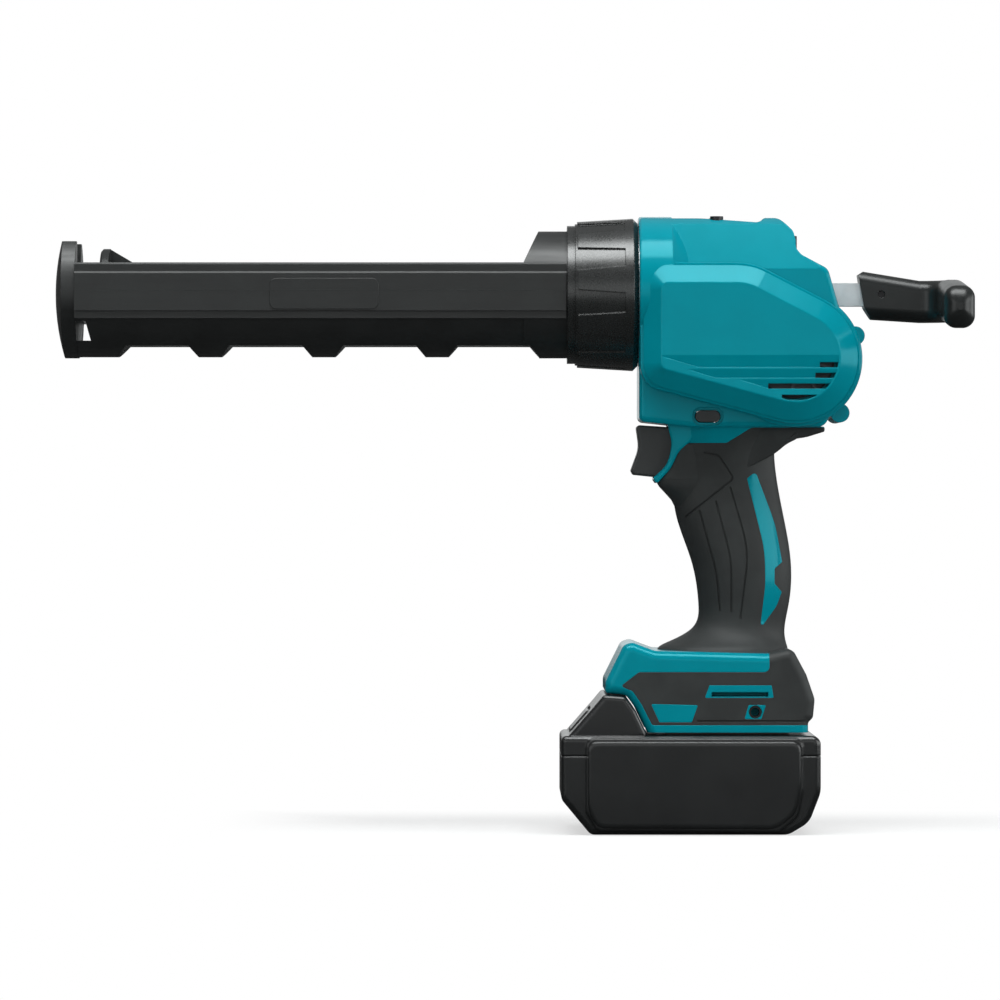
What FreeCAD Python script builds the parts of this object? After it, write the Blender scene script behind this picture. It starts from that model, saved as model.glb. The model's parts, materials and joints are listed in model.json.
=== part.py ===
import FreeCAD, Part
import math
import operator
import os
from types import SimpleNamespace

import Sketcher
from FreeCAD import Placement, Rotation, Vector

# Cordless caulking tool, millimetres.  +X points to the rear, +Z up, and the tool
# stands on its battery with the origin in the middle of the battery's underside.
# Heights of the upper body are measured from the barrel axis.

SIZES = {
    # whole tool
    "axis_height": 244.5,
    "slide_gap": 0.3,
    "seat_gap": 0.15,
    "shaft_gap": 0.04,
    # nose sleeve and lock ring
    "nose_x": -23.8,
    "collar_radius": 35.6,
    "collar_length": 15.0,
    "sleeve_radius": 31.0,
    "sleeve_length": 26.0,
    "sleeve_neck_radius": 26.0,
    "sleeve_neck_length": 4.0,
    "sleeve_flange_length": 4.0,
    "cup_depth": 16.0,
    "bush_radius": 10.0,
    "ring_lip_radius": 31.5,
    "ring_lip_length": 3.6,
    "ring_lip_wall": 2.8,
    "ring_front_radius": 33.3,
    "ring_rear_radius": 34.8,
    "ring_rear_round": 2.2,
    "grip_field_count": 10,
    "grip_field_front_angle": 20.4,
    "grip_field_rear_angle": 14.8,
    "grip_field_depth": 1.0,
    "grip_field_length": 21.5,
    "grip_field_turn": 8.0,
    "ring_ledge": 1.0,
    "washer_thickness": 1.0,
    # cartridge holder
    "bore_radius": 26.0,
    "holder_wall": 2.5,
    "tube_wall": 3.0,
    "holder_flange_radius": 30.9,
    "holder_flange_thickness": 2.2,
    "trough_length": 227.0,
    "trough_top": 13.7,
    "rail_half_width": 29.7,
    "band_half_width": 28.4,
    "rail_top": 9.6,
    "rail_chamfer": 0.8,
    "rail_bottom": 8.2,
    "band_bottom": 11.6,
    "panel_setback": 88.4,
    "panel_length": 49.0,
    "panel_top": 6.4,
    "panel_bottom": 7.4,
    "panel_round": 3.0,
    "panel_rise": 0.4,
    "tube_length": 24.1,
    "tube_slant": 7.5,
    "foot_window_top": 23.4,
    "foot_window_length": 33.0,
    "foot_window_slant": 4.2,
    "foot_pitch": 51.8,
    "foot_windows": 4,
    "last_foot_length": 21.0,
    "front_foot_length": 22.4,
    "plate_thickness": 6.2,
    "plate_dome": 4.2,
    "plate_radius": 29.0,
    "plate_top": 23.8,
    "nozzle_slot_radius": 11.0,
    "drain_length": 6.6,
    "drain_slant": 2.0,
    "drain_top": 12.6,
    "drain_bottom": 21.4,
    # push rod and piston
    "rod_height": 10.4,
    "rod_width": 9.0,
    "rod_front_x": -262.5,
    "rod_rear_x": 100.0,
    "rack_module": 1.25,
    "rod_overrun": 8.0,
    "rod_travel": 206.0,
    "piston_radius": 21.0,
    "piston_face_x": -268.7,
    "piston_rim": 4.0,
    "piston_length": 27.0,
    "piston_hub_radius": 9.0,
    "gusset_count": 6,
    "gusset_thickness": 3.0,
    "piston_screw_radius": 2.5,
    "piston_screw_head": 4.6,
    "piston_screw_length": 18.0,
    # hooked rod grip
    "grip_front_x": 76.5,
    "grip_front_height": 22.0,
    "grip_bend_x": 118.6,
    "grip_bend_drop": 3.2,
    "grip_rear_height": 19.2,
    "grip_width": 14.0,
    "grip_reach": 58.0,
    "grip_tip_drop": 7.2,
    "grip_tip_round": 7.0,
    "grip_pin_sink": 1.2,
    "grip_pin_x": 87.0,
    "grip_pin_radius": 1.5,
    # drive
    "pressure_angle": 25.0,
    "tooth_backlash": 0.12,
    "tooth_reach": 0.8,
    "tooth_root": 1.1,
    "output_x": 14.0,
    "output_teeth": 10,
    "motor_x": 46.2,
    "motor_drop": 29.7,
    "motor_pinion_teeth": 9,
    "first_wheel_teeth": 42,
    "first_module": 0.8,
    "first_pinion_teeth": 10,
    "second_wheel_teeth": 30,
    "second_module": 0.9,
    "second_pinion_teeth": 10,
    "final_wheel_teeth": 32,
    "final_module": 1.0,
    "first_mesh_angle": -5.0,
    "gear_width": 5.0,
    "gear_plane_step": 7.4,
    "final_gear_y": 12.0,
    "gear_pin_radius": 2.0,
    "gear_pin_seat": 1.8,
    "output_shaft_radius": 4.0,
    "output_bush_radius": 6.5,
    "output_bush_length": 6.0,
    "rack_pinion_width": 10.0,
    "clutch_radius": 11.0,
    "clutch_thickness": 1.6,
    # motor
    "motor_radius": 18.0,
    "motor_wall": 1.5,
    "motor_front_y": 16.5,
    "motor_length": 41.5,
    "end_cap_length": 3.6,
    "motor_shaft_radius": 1.6,
    "fan_radius": 17.2,
    "fan_length": 4.2,
    "fan_blades": 9,
    # housing
    "core_half_width": 26.0,
    "core_top": 34.6,
    "core_shoulder": 11.0,
    "core_slope": 25.0,
    "neck_half_width": 21.0,
    "neck_drop": 60.6,
    "edge_round": 2.4,
    "collar_scoop": 8.0,
    "bulge_half_width": 39.0,
    "bulge_radius": 28.2,
    "bulge_bevel": 8.0,
    "bulge_bevel_depth": 5.5,
    "bulge_round": 1.4,
    "bulge_corner": 11.0,
    "bulge_front_x": -22.2,
    "bulge_top": 12.2,
    "bulge_top_slope": 27.5,
    "bulge_bottom_slope": 15.0,
    "round_end_radius": 31.0,
    "lug_radius": 4.3,
    "vent_radius": 19.3,
    "vent_height": 2.3,
    "louvre_depth": 0.9,
    "gear_room": 1.6,
    "fan_room": 1.0,
    "tang_half_width": 13.0,
    "guard_half_width": 12.4,
    "skin": 1.6,
    "grip_line_width": 0.8,
    "grip_line_depth": 0.6,
    # trigger, lock-off button, speed dial
    "trigger_half_width": 8.6,
    "trigger_travel": 6.0,
    "trigger_rear_x": -3.0,
    "trigger_slot_top": 58.9,
    "trigger_slot_height": 24.7,
    "stem_drop": 71.0,
    "stem_radius": 2.5,
    "stem_length": 11.0,
    "switch_length": 24.0,
    "switch_width": 17.0,
    "switch_height": 22.0,
    "button_x": 7.3,
    "button_drop": 55.8,
    "button_length": 11.0,
    "button_height": 5.0,
    "button_sink": 0.6,
    "button_recess": 1.5,
    "button_margin": 1.6,
    "dial_x": 39.4,
    "dial_height": 23.6,
    "dial_radius": 9.4,
    "dial_thickness": 6.4,
    "dial_reach": 1.6,
    "dial_room": 0.5,
    "dial_pin_radius": 1.5,
    "dial_pin_seat": 1.8,
    "dial_board_gap": 1.2,
    "dial_board_length": 13.0,
    "dial_board_width": 16.0,
    "knurl_radius": 0.6,
    "knurl_count": 24,
    # control board and rod guides
    "board_x": -2.0,
    "board_height": 16.0,
    "board_length": 28.0,
    "board_width": 32.0,
    "board_thickness": 1.6,
    "board_parts": 5.2,
    "rear_bush_x": 50.0,
    "rear_bush_length": 8.0,
    "rear_bush_width": 16.0,
    "rear_bush_height": 17.0,
    "wear_plate_length": 24.0,
    "wear_plate_width": 12.0,
    "wear_plate_thickness": 3.0,
    # screws
    "screw_radius": 1.5,
    "screw_head_radius": 3.0,
    "screw_head_height": 2.6,
    "screw_socket_radius": 1.4,
    "screw_depth": 8.0,
    "nose_screw_x": 11.8,
    "nose_screw_y": 9.0,
    "nose_screw_sink": 1.8,
    "nose_screw_length": 6.0,
    # foot and battery
    "foot_half_width": 34.0,
    "foot_bottom": 46.0,
    "foot_top": 82.0,
    "foot_round": 4.0,
    "foot_line_x": 2.0,
    "foot_line_rise": 4.8,
    "battery_front_x": -59.3,
    "battery_rear_x": 57.7,
    "battery_half_width": 36.4,
    "battery_top": 44.6,
    "battery_seam": 35.4,
    "battery_wall": 2.2,
    "label_field_rise": 1.1,
    "label_field_round": 4.0,
    "hump_half_width": 35.0,
    "rail_neck_half_width": 21.0,
    "rail_lip_half_width": 24.0,
    "rail_lip_bottom": 48.6,
    "rail_lip_height": 3.8,
    "rail_front_x": -12.0,
    "rail_rear_x": 44.0,
    "cell_radius": 9.2,
    "cell_length": 65.0,
    "cells_per_row": 5,
    "battery_margin": 3.0,
    "contact_height": 1.2,
    "release_setback": 4.3,
    "release_length": 9.0,
    "release_width": 32.0,
    "release_travel": 3.5,
    "terminal_x": 2.0,
    "terminal_length": 38.0,
    "terminal_width": 32.0,
    "terminal_height": 8.0,
    "terminal_y": 8.0,
    "blade_setback": 4.0,
    "blade_length": 24.0,
    "blade_thickness": 1.0,
    "blade_reach": 4.4,
    "blade_root": 5.0,
    "hook_slot_x": 8.5,
    "hook_slot_rise": 16.2,
    "hook_slot_length": 25.6,
    "hook_slot_height": 2.0,
    "hook_slot_depth": 12.0,
    "hook_hole_x": 28.2,
    "hook_hole_rise": 9.25,
    "hook_hole_radius": 2.0,
    "hook_insert_radius": 2.8,
    "hook_insert_length": 9.0,
}

doc = FreeCAD.newDocument("caulking_tool")
sheet = doc.addObject("Spreadsheet::Sheet", "sizes")
for row, (alias, value) in enumerate(SIZES.items(), start=1):
    sheet.set(f"A{row}", alias)
    sheet.set(f"B{row}", str(value))
    sheet.setAlias(f"B{row}", alias)
doc.recompute()

SIGNS = {"+": operator.add, "-": operator.sub, "*": operator.mul, "/": operator.truediv}


class Size(float):
    """A number that remembers the sheet formula it comes from."""

    def __new__(cls, value, formula):
        size = super().__new__(cls, value)
        size.formula = formula
        return size

    def __add__(self, other):
        return combined(self, "+", other)

    def __radd__(self, other):
        return combined(other, "+", self)

    def __sub__(self, other):
        return combined(self, "-", other)

    def __rsub__(self, other):
        return combined(other, "-", self)

    def __mul__(self, other):
        return combined(self, "*", other)

    def __rmul__(self, other):
        return combined(other, "*", self)

    def __truediv__(self, other):
        return combined(self, "/", other)

    def __neg__(self):
        return combined(0, "-", self)


def formula_of(value):
    return value.formula if isinstance(value, Size) else f"({float(value)})"


def combined(left, sign, right):
    value = SIGNS[sign](float(left), float(right))
    return Size(value, f"({formula_of(left)} {sign} {formula_of(right)})")


def square_root(value):
    return Size(math.sqrt(value), f"sqrt({formula_of(value)})")


d = SimpleNamespace(**{alias: Size(sheet.get(alias), f"sizes.{alias}") for alias in SIZES})
AXIS = d.axis_height
pieces = []


# Helpers that bind objects of the document to the sheet

def bind(target, path, value):
    if isinstance(value, Size):
        target.setExpression(path, value.formula)


def place(target, x=0, y=0, z=0, rotation=Rotation()):
    target.Placement = Placement(Vector(x, y, z), rotation)
    for letter, value in zip("xyz", (x, y, z)):
        bind(target, f"Placement.Base.{letter}", value)


def keep(target, label):
    target.Label = label
    pieces.append(target)
    return target


def solid_piece(label, shape):
    feature = doc.addObject("Part::Feature", label)
    feature.Shape = shape
    return keep(feature, label)


def new_body(label, x=0, y=0, z=0, rotation=Rotation()):
    body = doc.addObject("PartDesign::Body", label)
    place(body, x, y, z, rotation)
    return keep(body, label)


def new_sketch(body, role, offset=0):
    sketch = body.newObject("Sketcher::SketchObject", "sketch")
    plane = next(item for item in body.Origin.OriginFeatures if item.Role == role)
    sketch.AttachmentSupport = (plane, [""])
    sketch.MapMode = "FlatFace"
    sketch.AttachmentOffset = Placement(Vector(0, 0, offset), Rotation())
    bind(sketch, "AttachmentOffset.Base.z", offset)
    return sketch


def pin_coordinate(sketch, kind, geometry, point, value):
    """Hold one coordinate of a sketch point at a sheet value, measured from the origin."""
    if value == 0:
        axis = -2 if kind == "DistanceX" else -1
        sketch.addConstraint(Sketcher.Constraint("PointOnObject", geometry, point, axis))
        return
    ends = (-1, 1, geometry, point) if value > 0 else (geometry, point, -1, 1)
    distance = value if value > 0 else -value
    index = sketch.addConstraint(Sketcher.Constraint(kind, *ends, float(distance)))
    bind(sketch, f"Constraints[{index}]", distance)


def draw_loop(sketch, corners):
    """Closed loop of lines.  A corner may name the arc that leads on from it as
    (x, y, "arc", centre x, centre y), run anticlockwise, or "back" for clockwise."""
    first = sketch.GeometryCount
    count = len(corners)
    for index, corner in enumerate(corners):
        following = corners[(index + 1) % count]
        start = Vector(corner[0], corner[1], 0)
        end = Vector(following[0], following[1], 0)
        if len(corner) == 2:
            sketch.addGeometry(Part.LineSegment(start, end), False)
            continue
        centre = Vector(corner[3], corner[4], 0)
        low, high = (start, end) if corner[2] == "arc" else (end, start)
        angles = [math.atan2(p.y - centre.y, p.x - centre.x) for p in (low, high)]
        circle = Part.Circle(centre, Vector(0, 0, 1), (start - centre).Length)
        sketch.addGeometry(Part.ArcOfCircle(circle, angles[0], angles[1]), False)

    def entry(index):
        corner = corners[index]
        return 2 if len(corner) > 2 and corner[2] == "back" else 1

    for index in range(count):
        here = first + index
        following = (index + 1) % count
        leaving = 3 - entry(index)
        sketch.addConstraint(
            Sketcher.Constraint("Coincident", here, leaving, first + following, entry(following)))
    for index, corner in enumerate(corners):
        pin_coordinate(sketch, "DistanceX", first + index, entry(index), corner[0])
        pin_coordinate(sketch, "DistanceY", first + index, entry(index), corner[1])
        if len(corner) > 2:
            following = corners[(index + 1) % count]
            flat = abs(following[0] - corner[0]) > abs(following[1] - corner[1])
            kind, value = ("DistanceY", corner[4]) if flat else ("DistanceX", corner[3])
            pin_coordinate(sketch, kind, first + index, 3, value)


def draw_circle(sketch, radius, x=0, y=0):
    index = sketch.addGeometry(Part.Circle(Vector(x, y, 0), Vector(0, 0, 1), radius), False)
    pin_coordinate(sketch, "DistanceX", index, 3, x)
    pin_coordinate(sketch, "DistanceY", index, 3, y)
    held = sketch.addConstraint(Sketcher.Constraint("Radius", index, float(radius)))
    bind(sketch, f"Constraints[{held}]", radius)


def draw_rectangle(sketch, left, right, bottom, top):
    draw_loop(sketch, [(left, bottom), (right, bottom), (right, top), (left, top)])


def add_feature(body, kind, sketch):
    feature = body.newObject(f"PartDesign::{kind}", kind.lower())
    feature.Profile = sketch
    return feature


def pad(body, sketch, length, both_ways=False, backwards=False):
    feature = add_feature(body, "Pad", sketch)
    feature.Length = float(length)
    bind(feature, "Length", length)
    feature.SideType = "Symmetric" if both_ways else "One side"
    feature.Reversed = backwards
    return feature


def pocket(body, sketch, length=None, backwards=False):
    feature = add_feature(body, "Pocket", sketch)
    feature.Reversed = backwards
    if length is None:
        feature.Type = "ThroughAll"
        feature.SideType = "Symmetric"
    else:
        feature.Length = float(length)
        bind(feature, "Length", length)
    return feature


def revolve(body, sketch, kind="Revolution", angle=None):
    feature = add_feature(body, kind, sketch)
    feature.ReferenceAxis = (sketch, ["H_Axis"])
    feature.Angle = 360.0 if angle is None else float(angle)
    if angle is not None:
        bind(feature, "Angle", angle)
        feature.Midplane = True
    return feature


def around(body, feature, count):
    pattern = body.newObject("PartDesign::PolarPattern", "around")
    pattern.Originals = [feature]
    axis = next(item for item in body.Origin.OriginFeatures if item.Role == "X_Axis")
    pattern.Axis = (axis, [""])
    pattern.Angle = 360.0
    pattern.Occurrences = int(count)
    bind(pattern, "Occurrences", count)
    body.Tip = pattern
    return pattern


TURN_TO_Y = Rotation(Vector(0, 0, 1), 90)
TURN_TO_Z = Rotation(Vector(0, 1, 0), -90)


def turned_piece(label, profile, x=0, y=0, z=AXIS, rotation=Rotation()):
    """A turned piece: profile is (along, radius) corners, spun about its own X axis."""
    body = new_body(label, x, y, z, rotation)
    sketch = new_sketch(body, "XY_Plane")
    draw_loop(sketch, profile)
    revolve(body, sketch)
    return body


def tube_profile(start, end, inner, outer):
    return [(start, inner), (end, inner), (end, outer), (start, outer)]


# Helpers for moulded and toothed shapes

def outline(corners):
    """Closed wire in the XZ plane; a third number rounds the corner with that radius."""
    points = [Vector(corner[0], 0, corner[1]) for corner in corners]
    radii = [corner[2] if len(corner) > 2 else 0 for corner in corners]
    count = len(points)
    spans = []
    for index, (point, radius) in enumerate(zip(points, radii)):
        if radius == 0:
            spans.append((point, None, point))
            continue
        before = (points[index - 1] - point).normalize()
        after = (points[(index + 1) % count] - point).normalize()
        half = before.getAngle(after) / 2
        reach = radius / math.tan(half)
        middle = (before + after).normalize()
        mid_point = point + middle * (radius / math.sin(half) - radius)
        spans.append((point + before * reach, mid_point, point + after * reach))
    edges = []
    for index, (start, middle, end) in enumerate(spans):
        if middle is not None:
            edges.append(Part.Arc(start, middle, end).toShape())
        following = spans[(index + 1) % count][0]
        if end.distanceToPoint(following) > 1e-6:
            edges.append(Part.LineSegment(end, following).toShape())
    return Part.Wire(edges)


def prism(corners, near, far):
    """Solid of an XZ outline between two Y values."""
    face = Part.Face(outline(corners))
    face.translate(Vector(0, near, 0))
    return face.extrude(Vector(0, far - near, 0))


def block(x0, x1, y0, y1, z0, z1):
    return Part.makeBox(x1 - x0, y1 - y0, z1 - z0, Vector(x0, y0, z0))


def drum(radius, x, z, near, far):
    """Cylinder along Y."""
    return Part.makeCylinder(radius, far - near, Vector(x, near, z), Vector(0, 1, 0))


def barrel(radius, front, rear):
    """Cylinder along the barrel axis."""
    return Part.makeCylinder(radius, rear - front, Vector(front, 0, AXIS), Vector(1, 0, 0))


def soften(shape, radius, chosen):
    return shape.makeFillet(radius, [edge for edge in shape.Edges if chosen(edge)])


def on_sides(half_width):
    """Edges that lie wholly on the two side faces of a prism."""
    def chosen(edge):
        box = edge.BoundBox
        return min(abs(box.YMin), abs(box.YMax)) > half_width - 1e-4
    return chosen


def joined(*shapes):
    return shapes[0].multiFuse(list(shapes[1:])).removeSplitter()


def gear_wire(module, teeth, turn):
    """Involute gear outline in the XZ plane, the first tooth centred on angle turn."""
    pitch = module * teeth / 2
    base = pitch * math.cos(math.radians(d.pressure_angle))
    tip = pitch + module * d.tooth_reach
    root = pitch - module * d.tooth_root
    thickness = math.pi * module / 2 - d.tooth_backlash

    def roll(radius):
        swing = math.acos(min(1.0, base / radius))
        return math.tan(swing) - swing

    half_at_pitch = thickness / (2 * pitch)

    def flank(radius, side, tooth):
        half = half_at_pitch + roll(pitch) - roll(max(radius, base))
        angle = turn + 2 * math.pi * tooth / teeth + side * half
        return Vector(radius * math.cos(angle), 0, radius * math.sin(angle))

    start = max(root, base)
    middle = (start + tip) / 2
    edges = []
    for tooth in range(int(teeth)):
        rise = [flank(radius, -1, tooth) for radius in (root, start, middle, tip)]
        fall = [flank(radius, 1, tooth) for radius in (tip, middle, start, root)]
        if start > root:
            edges.append(Part.LineSegment(rise[0], rise[1]).toShape())
        edges.append(Part.Arc(rise[1], rise[2], rise[3]).toShape())
        edges.append(Part.LineSegment(rise[3], fall[0]).toShape())
        edges.append(Part.Arc(fall[0], fall[1], fall[2]).toShape())
        if start > root:
            edges.append(Part.LineSegment(fall[2], fall[3]).toShape())
        edges.append(Part.LineSegment(fall[3], flank(root, -1, tooth + 1)).toShape())
    return Part.Wire(edges)


def gear_solid(module, teeth, centre, near, far, turn):
    face = Part.Face(gear_wire(module, teeth, turn))
    face.translate(Vector(centre[0], near, centre[1]))
    return face.extrude(Vector(0, far - near, 0))


def mesh_turn(from_centre, from_teeth, from_turn, to_centre, to_teeth):
    """Turn of a gear that sets one of its gaps on a tooth of the gear it meets."""
    way = math.atan2(to_centre[1] - from_centre[1], to_centre[0] - from_centre[0])
    phase = (way - from_turn) * from_teeth
    return way + math.pi + (phase + math.pi) / to_teeth


def meeting_point(centre_a, reach_a, centre_b, reach_b):
    """Point at two given distances from two centres, on the left of the way from a to b."""
    across = Vector(centre_b[0] - centre_a[0], 0, centre_b[1] - centre_a[1])
    along = (reach_a ** 2 - reach_b ** 2 + across.Length ** 2) / (2 * across.Length)
    aside = math.sqrt(reach_a ** 2 - along ** 2)
    way = across.normalize()
    point = Vector(centre_a[0], 0, centre_a[1]) + way * along + Vector(-way.z, 0, way.x) * aside
    return (point.x, point.z)


# Nose sleeve, lock ring and thrust washer

sleeve_front = d.nose_x - d.sleeve_length
sleeve_flange_x = d.nose_x + d.sleeve_neck_length
sleeve_back = sleeve_flange_x + d.sleeve_flange_length
cup_floor = sleeve_front + d.cup_depth
cup_radius = d.piston_radius + 2.5
bush_hole = d.bush_radius + d.seat_gap

turned_piece("nose_sleeve", [
    (sleeve_front, cup_radius), (sleeve_front, d.sleeve_radius), (d.nose_x, d.sleeve_radius),
    (d.nose_x, d.sleeve_neck_radius), (sleeve_flange_x, d.sleeve_neck_radius),
    (sleeve_flange_x, d.sleeve_radius), (sleeve_back, d.sleeve_radius), (sleeve_back, bush_hole),
    (cup_floor, bush_hole), (cup_floor, cup_radius)])

front_bush = turned_piece("front_rod_bush", [
    (cup_floor, 0), (sleeve_back, 0), (sleeve_back, d.bush_radius), (cup_floor, d.bush_radius)])
rod_slot = new_sketch(front_bush, "YZ_Plane")
slot_half_width = d.rod_width / 2 + d.seat_gap
slot_half_height = d.rod_height / 2 + d.seat_gap
draw_rectangle(rod_slot, -slot_half_width, slot_half_width, -slot_half_height, slot_half_height)
pocket(front_bush, rod_slot)

flange_rear = sleeve_front - d.seat_gap
flange_front = flange_rear - d.holder_flange_thickness
washer_rear = flange_front - d.seat_gap
washer_front = washer_rear - d.washer_thickness
lip_inside = washer_front - d.seat_gap
ring_front = lip_inside - d.ring_lip_wall
ring_rear = d.nose_x - d.slide_gap
ring_bore = d.sleeve_radius + d.slide_gap
tube_radius = d.bore_radius + d.tube_wall
lip_bore = tube_radius + d.slide_gap
ring_shoulder = ring_front + d.ring_lip_length

field_floor = d.ring_front_radius - d.grip_field_depth
tooth_front = ring_shoulder + d.ring_ledge

lock_ring = turned_piece("lock_ring", [
    (ring_front, lip_bore), (ring_front, d.ring_lip_radius), (ring_shoulder, d.ring_lip_radius),
    (ring_shoulder, field_floor), (tooth_front, field_floor), (tooth_front, d.ring_front_radius),
    (ring_rear - d.ring_rear_round, d.ring_rear_radius),
    (ring_rear, d.ring_rear_radius - d.ring_rear_round), (ring_rear, ring_bore),
    (lip_inside, ring_bore), (lip_inside, lip_bore)],
    rotation=Rotation(Vector(1, 0, 0), d.grip_field_turn))


def field_section(x, floor, angle):
    """Cross section of the channel between two teeth of the ring."""
    sketch = new_sketch(lock_ring, "YZ_Plane", x)
    along = math.cos(math.radians(angle / 2))
    across = math.sin(math.radians(angle / 2))
    above = d.ring_rear_radius + 2
    draw_loop(sketch, [
        (floor * along, -floor * across, "arc", 0, 0), (floor * along, floor * across),
        (above * along, above * across), (above * along, -above * across)])
    return sketch


field_rise = d.ring_rear_radius - d.ring_front_radius
field = add_feature(lock_ring, "SubtractiveLoft", field_section(
    tooth_front - d.ring_ledge / 2, field_floor, d.grip_field_front_angle))
field.Sections = [field_section(
    tooth_front + d.grip_field_length, field_floor + field_rise, d.grip_field_rear_angle)]
field.Ruled = True
around(lock_ring, field, d.grip_field_count)

turned_piece("thrust_washer", tube_profile(washer_front, washer_rear, lip_bore, ring_bore - d.seat_gap))

# Cartridge holder: slotted front plate, open trough with feet, closed tube and flange

holder = new_body("cartridge_holder", z=AXIS)
trough_rear = flange_front
trough_front = trough_rear - d.trough_length
plate_front = trough_front - d.plate_thickness
dome_front = plate_front - d.plate_dome
dome_radius = (d.plate_radius * d.plate_radius + d.plate_dome * d.plate_dome) / (2 * d.plate_dome)

plate_sketch = new_sketch(holder, "XY_Plane")
draw_loop(plate_sketch, [
    (trough_front, 0), (trough_front, d.plate_radius),
    (plate_front, d.plate_radius, "arc", dome_front + dome_radius, 0), (dome_front, 0)])
revolve(holder, plate_sketch)

slot_sketch = new_sketch(holder, "YZ_Plane", dome_front)
open_top = d.plate_radius + 1
slot = d.nozzle_slot_radius
draw_loop(slot_sketch, [(slot, open_top), (-slot, open_top), (-slot, 0, "arc", 0, 0), (slot, 0)])
pocket(holder, slot_sketch)
flat_sketch = new_sketch(holder, "YZ_Plane", dome_front)
draw_rectangle(flat_sketch, -open_top, open_top, d.plate_top, open_top)
pocket(holder, flat_sketch)

trough_sketch = new_sketch(holder, "YZ_Plane", trough_front)
outer_radius = d.bore_radius + d.holder_wall
ledge = square_root(outer_radius * outer_radius - d.band_bottom * d.band_bottom)
right_wall = [
    (d.bore_radius, 0), (d.bore_radius, d.trough_top), (d.band_half_width - d.rail_chamfer, d.trough_top),
    (d.band_half_width, d.trough_top - d.rail_chamfer), (d.band_half_width, d.rail_top),
    (d.rail_half_width - d.rail_chamfer, d.rail_top), (d.rail_half_width, d.rail_top - d.rail_chamfer),
    (d.rail_half_width, -d.rail_bottom), (d.band_half_width, -d.rail_bottom),
    (d.band_half_width, -d.band_bottom), (ledge, -d.band_bottom)]
left_wall = [(-across, up) for across, up in reversed(right_wall)]
draw_loop(trough_sketch, right_wall[:-1] + [(*right_wall[-1], "back", 0, 0)]
          + left_wall[:-1] + [(*left_wall[-1], "arc", 0, 0)])
trough_end = ring_front - 2 * d.slide_gap
pad(holder, trough_sketch, trough_end - trough_front)

panel_left = trough_front + d.panel_setback
panel_right = panel_left + d.panel_length
bend = d.panel_round
inner_left = panel_left + bend
inner_right = panel_right - bend
inner_top = d.panel_top - bend
inner_bottom = bend - d.panel_bottom
panel_root = d.rail_half_width - d.panel_rise
for start in (panel_root, -d.rail_half_width - d.panel_rise):
    panel_sketch = new_sketch(holder, "XZ_Plane", start)
    draw_loop(panel_sketch, [
        (inner_left, -d.panel_bottom), (inner_right, -d.panel_bottom, "arc", inner_right, inner_bottom),
        (panel_right, inner_bottom), (panel_right, inner_top, "arc", inner_right, inner_top),
        (inner_right, d.panel_top), (inner_left, d.panel_top, "arc", inner_left, inner_top),
        (panel_left, inner_top), (panel_left, inner_bottom, "arc", inner_left, inner_bottom)])
    pad(holder, panel_sketch, 2 * d.panel_rise)

tube_front = trough_rear - d.tube_length
tube_sketch = new_sketch(holder, "YZ_Plane", tube_front)
draw_circle(tube_sketch, d.bore_radius)
draw_circle(tube_sketch, tube_radius)
pad(holder, tube_sketch, flange_rear - tube_front)
flange_sketch = new_sketch(holder, "YZ_Plane", flange_front)
draw_circle(flange_sketch, d.bore_radius)
draw_circle(flange_sketch, d.holder_flange_radius)
pad(holder, flange_sketch, d.holder_flange_thickness)

slant_sketch = new_sketch(holder, "XZ_Plane")
above_tube = tube_radius + 1
draw_loop(slant_sketch, [
    (tube_front - 1, d.trough_top), (tube_front, d.trough_top),
    (tube_front + d.tube_slant, above_tube), (tube_front - 1, above_tube)])
pocket(holder, slant_sketch)

window_sketch = new_sketch(holder, "XZ_Plane")
below_feet = -(d.plate_radius + 1)
window_low = -outer_radius
last_window_rear = flange_front - d.last_foot_length
for number in range(int(d.foot_windows)):
    rear = last_window_rear - d.foot_pitch * number
    front = rear - d.foot_window_length
    if number == d.foot_windows - 1:
        front = trough_front + d.front_foot_length
    draw_loop(window_sketch, [
        (front, -d.foot_window_top), (front - d.foot_window_slant, window_low),
        (front - d.foot_window_slant, below_feet), (rear + d.foot_window_slant, below_feet),
        (rear + d.foot_window_slant, window_low), (rear, -d.foot_window_top)])
pocket(holder, window_sketch)

drain_sketch = new_sketch(holder, "XZ_Plane")
drain_front = trough_front + 0.2
drain_rear = drain_front + d.drain_length
draw_loop(drain_sketch, [
    (drain_front, -d.drain_bottom), (drain_rear, -d.drain_bottom), (drain_rear - d.drain_slant, -d.drain_top),
    (drain_front, -d.drain_top)])
pocket(holder, drain_sketch)

# Piston with gussets, its screw, and the toothed push rod

piston_rear = d.piston_face_x + d.piston_length
rim_rear = d.piston_face_x + d.piston_rim
rim_edge = 1.0
piston = turned_piece("piston", [
    (d.piston_face_x, 0), (d.piston_face_x, d.piston_radius - rim_edge),
    (d.piston_face_x + rim_edge, d.piston_radius), (rim_rear, d.piston_radius),
    (rim_rear, d.piston_hub_radius), (piston_rear, d.piston_hub_radius), (piston_rear, 0)])
gusset_sketch = new_sketch(piston, "XZ_Plane")
gusset_root = d.piston_hub_radius - 1
draw_loop(gusset_sketch, [
    (rim_rear - 0.5, gusset_root), (piston_rear - 3, gusset_root),
    (piston_rear - 3, d.piston_hub_radius), (rim_rear, d.piston_radius - 0.2),
    (rim_rear - 0.5, d.piston_radius - 0.2)])
gusset = pad(piston, gusset_sketch, d.gusset_thickness, both_ways=True)
around(piston, gusset, d.gusset_count)
socket_sketch = new_sketch(piston, "YZ_Plane", d.rod_front_x)
draw_rectangle(socket_sketch, -slot_half_width, slot_half_width, -slot_half_height, slot_half_height)
pocket(piston, socket_sketch, piston_rear - d.rod_front_x, backwards=True)
screw_sketch = new_sketch(piston, "XY_Plane")
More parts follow.
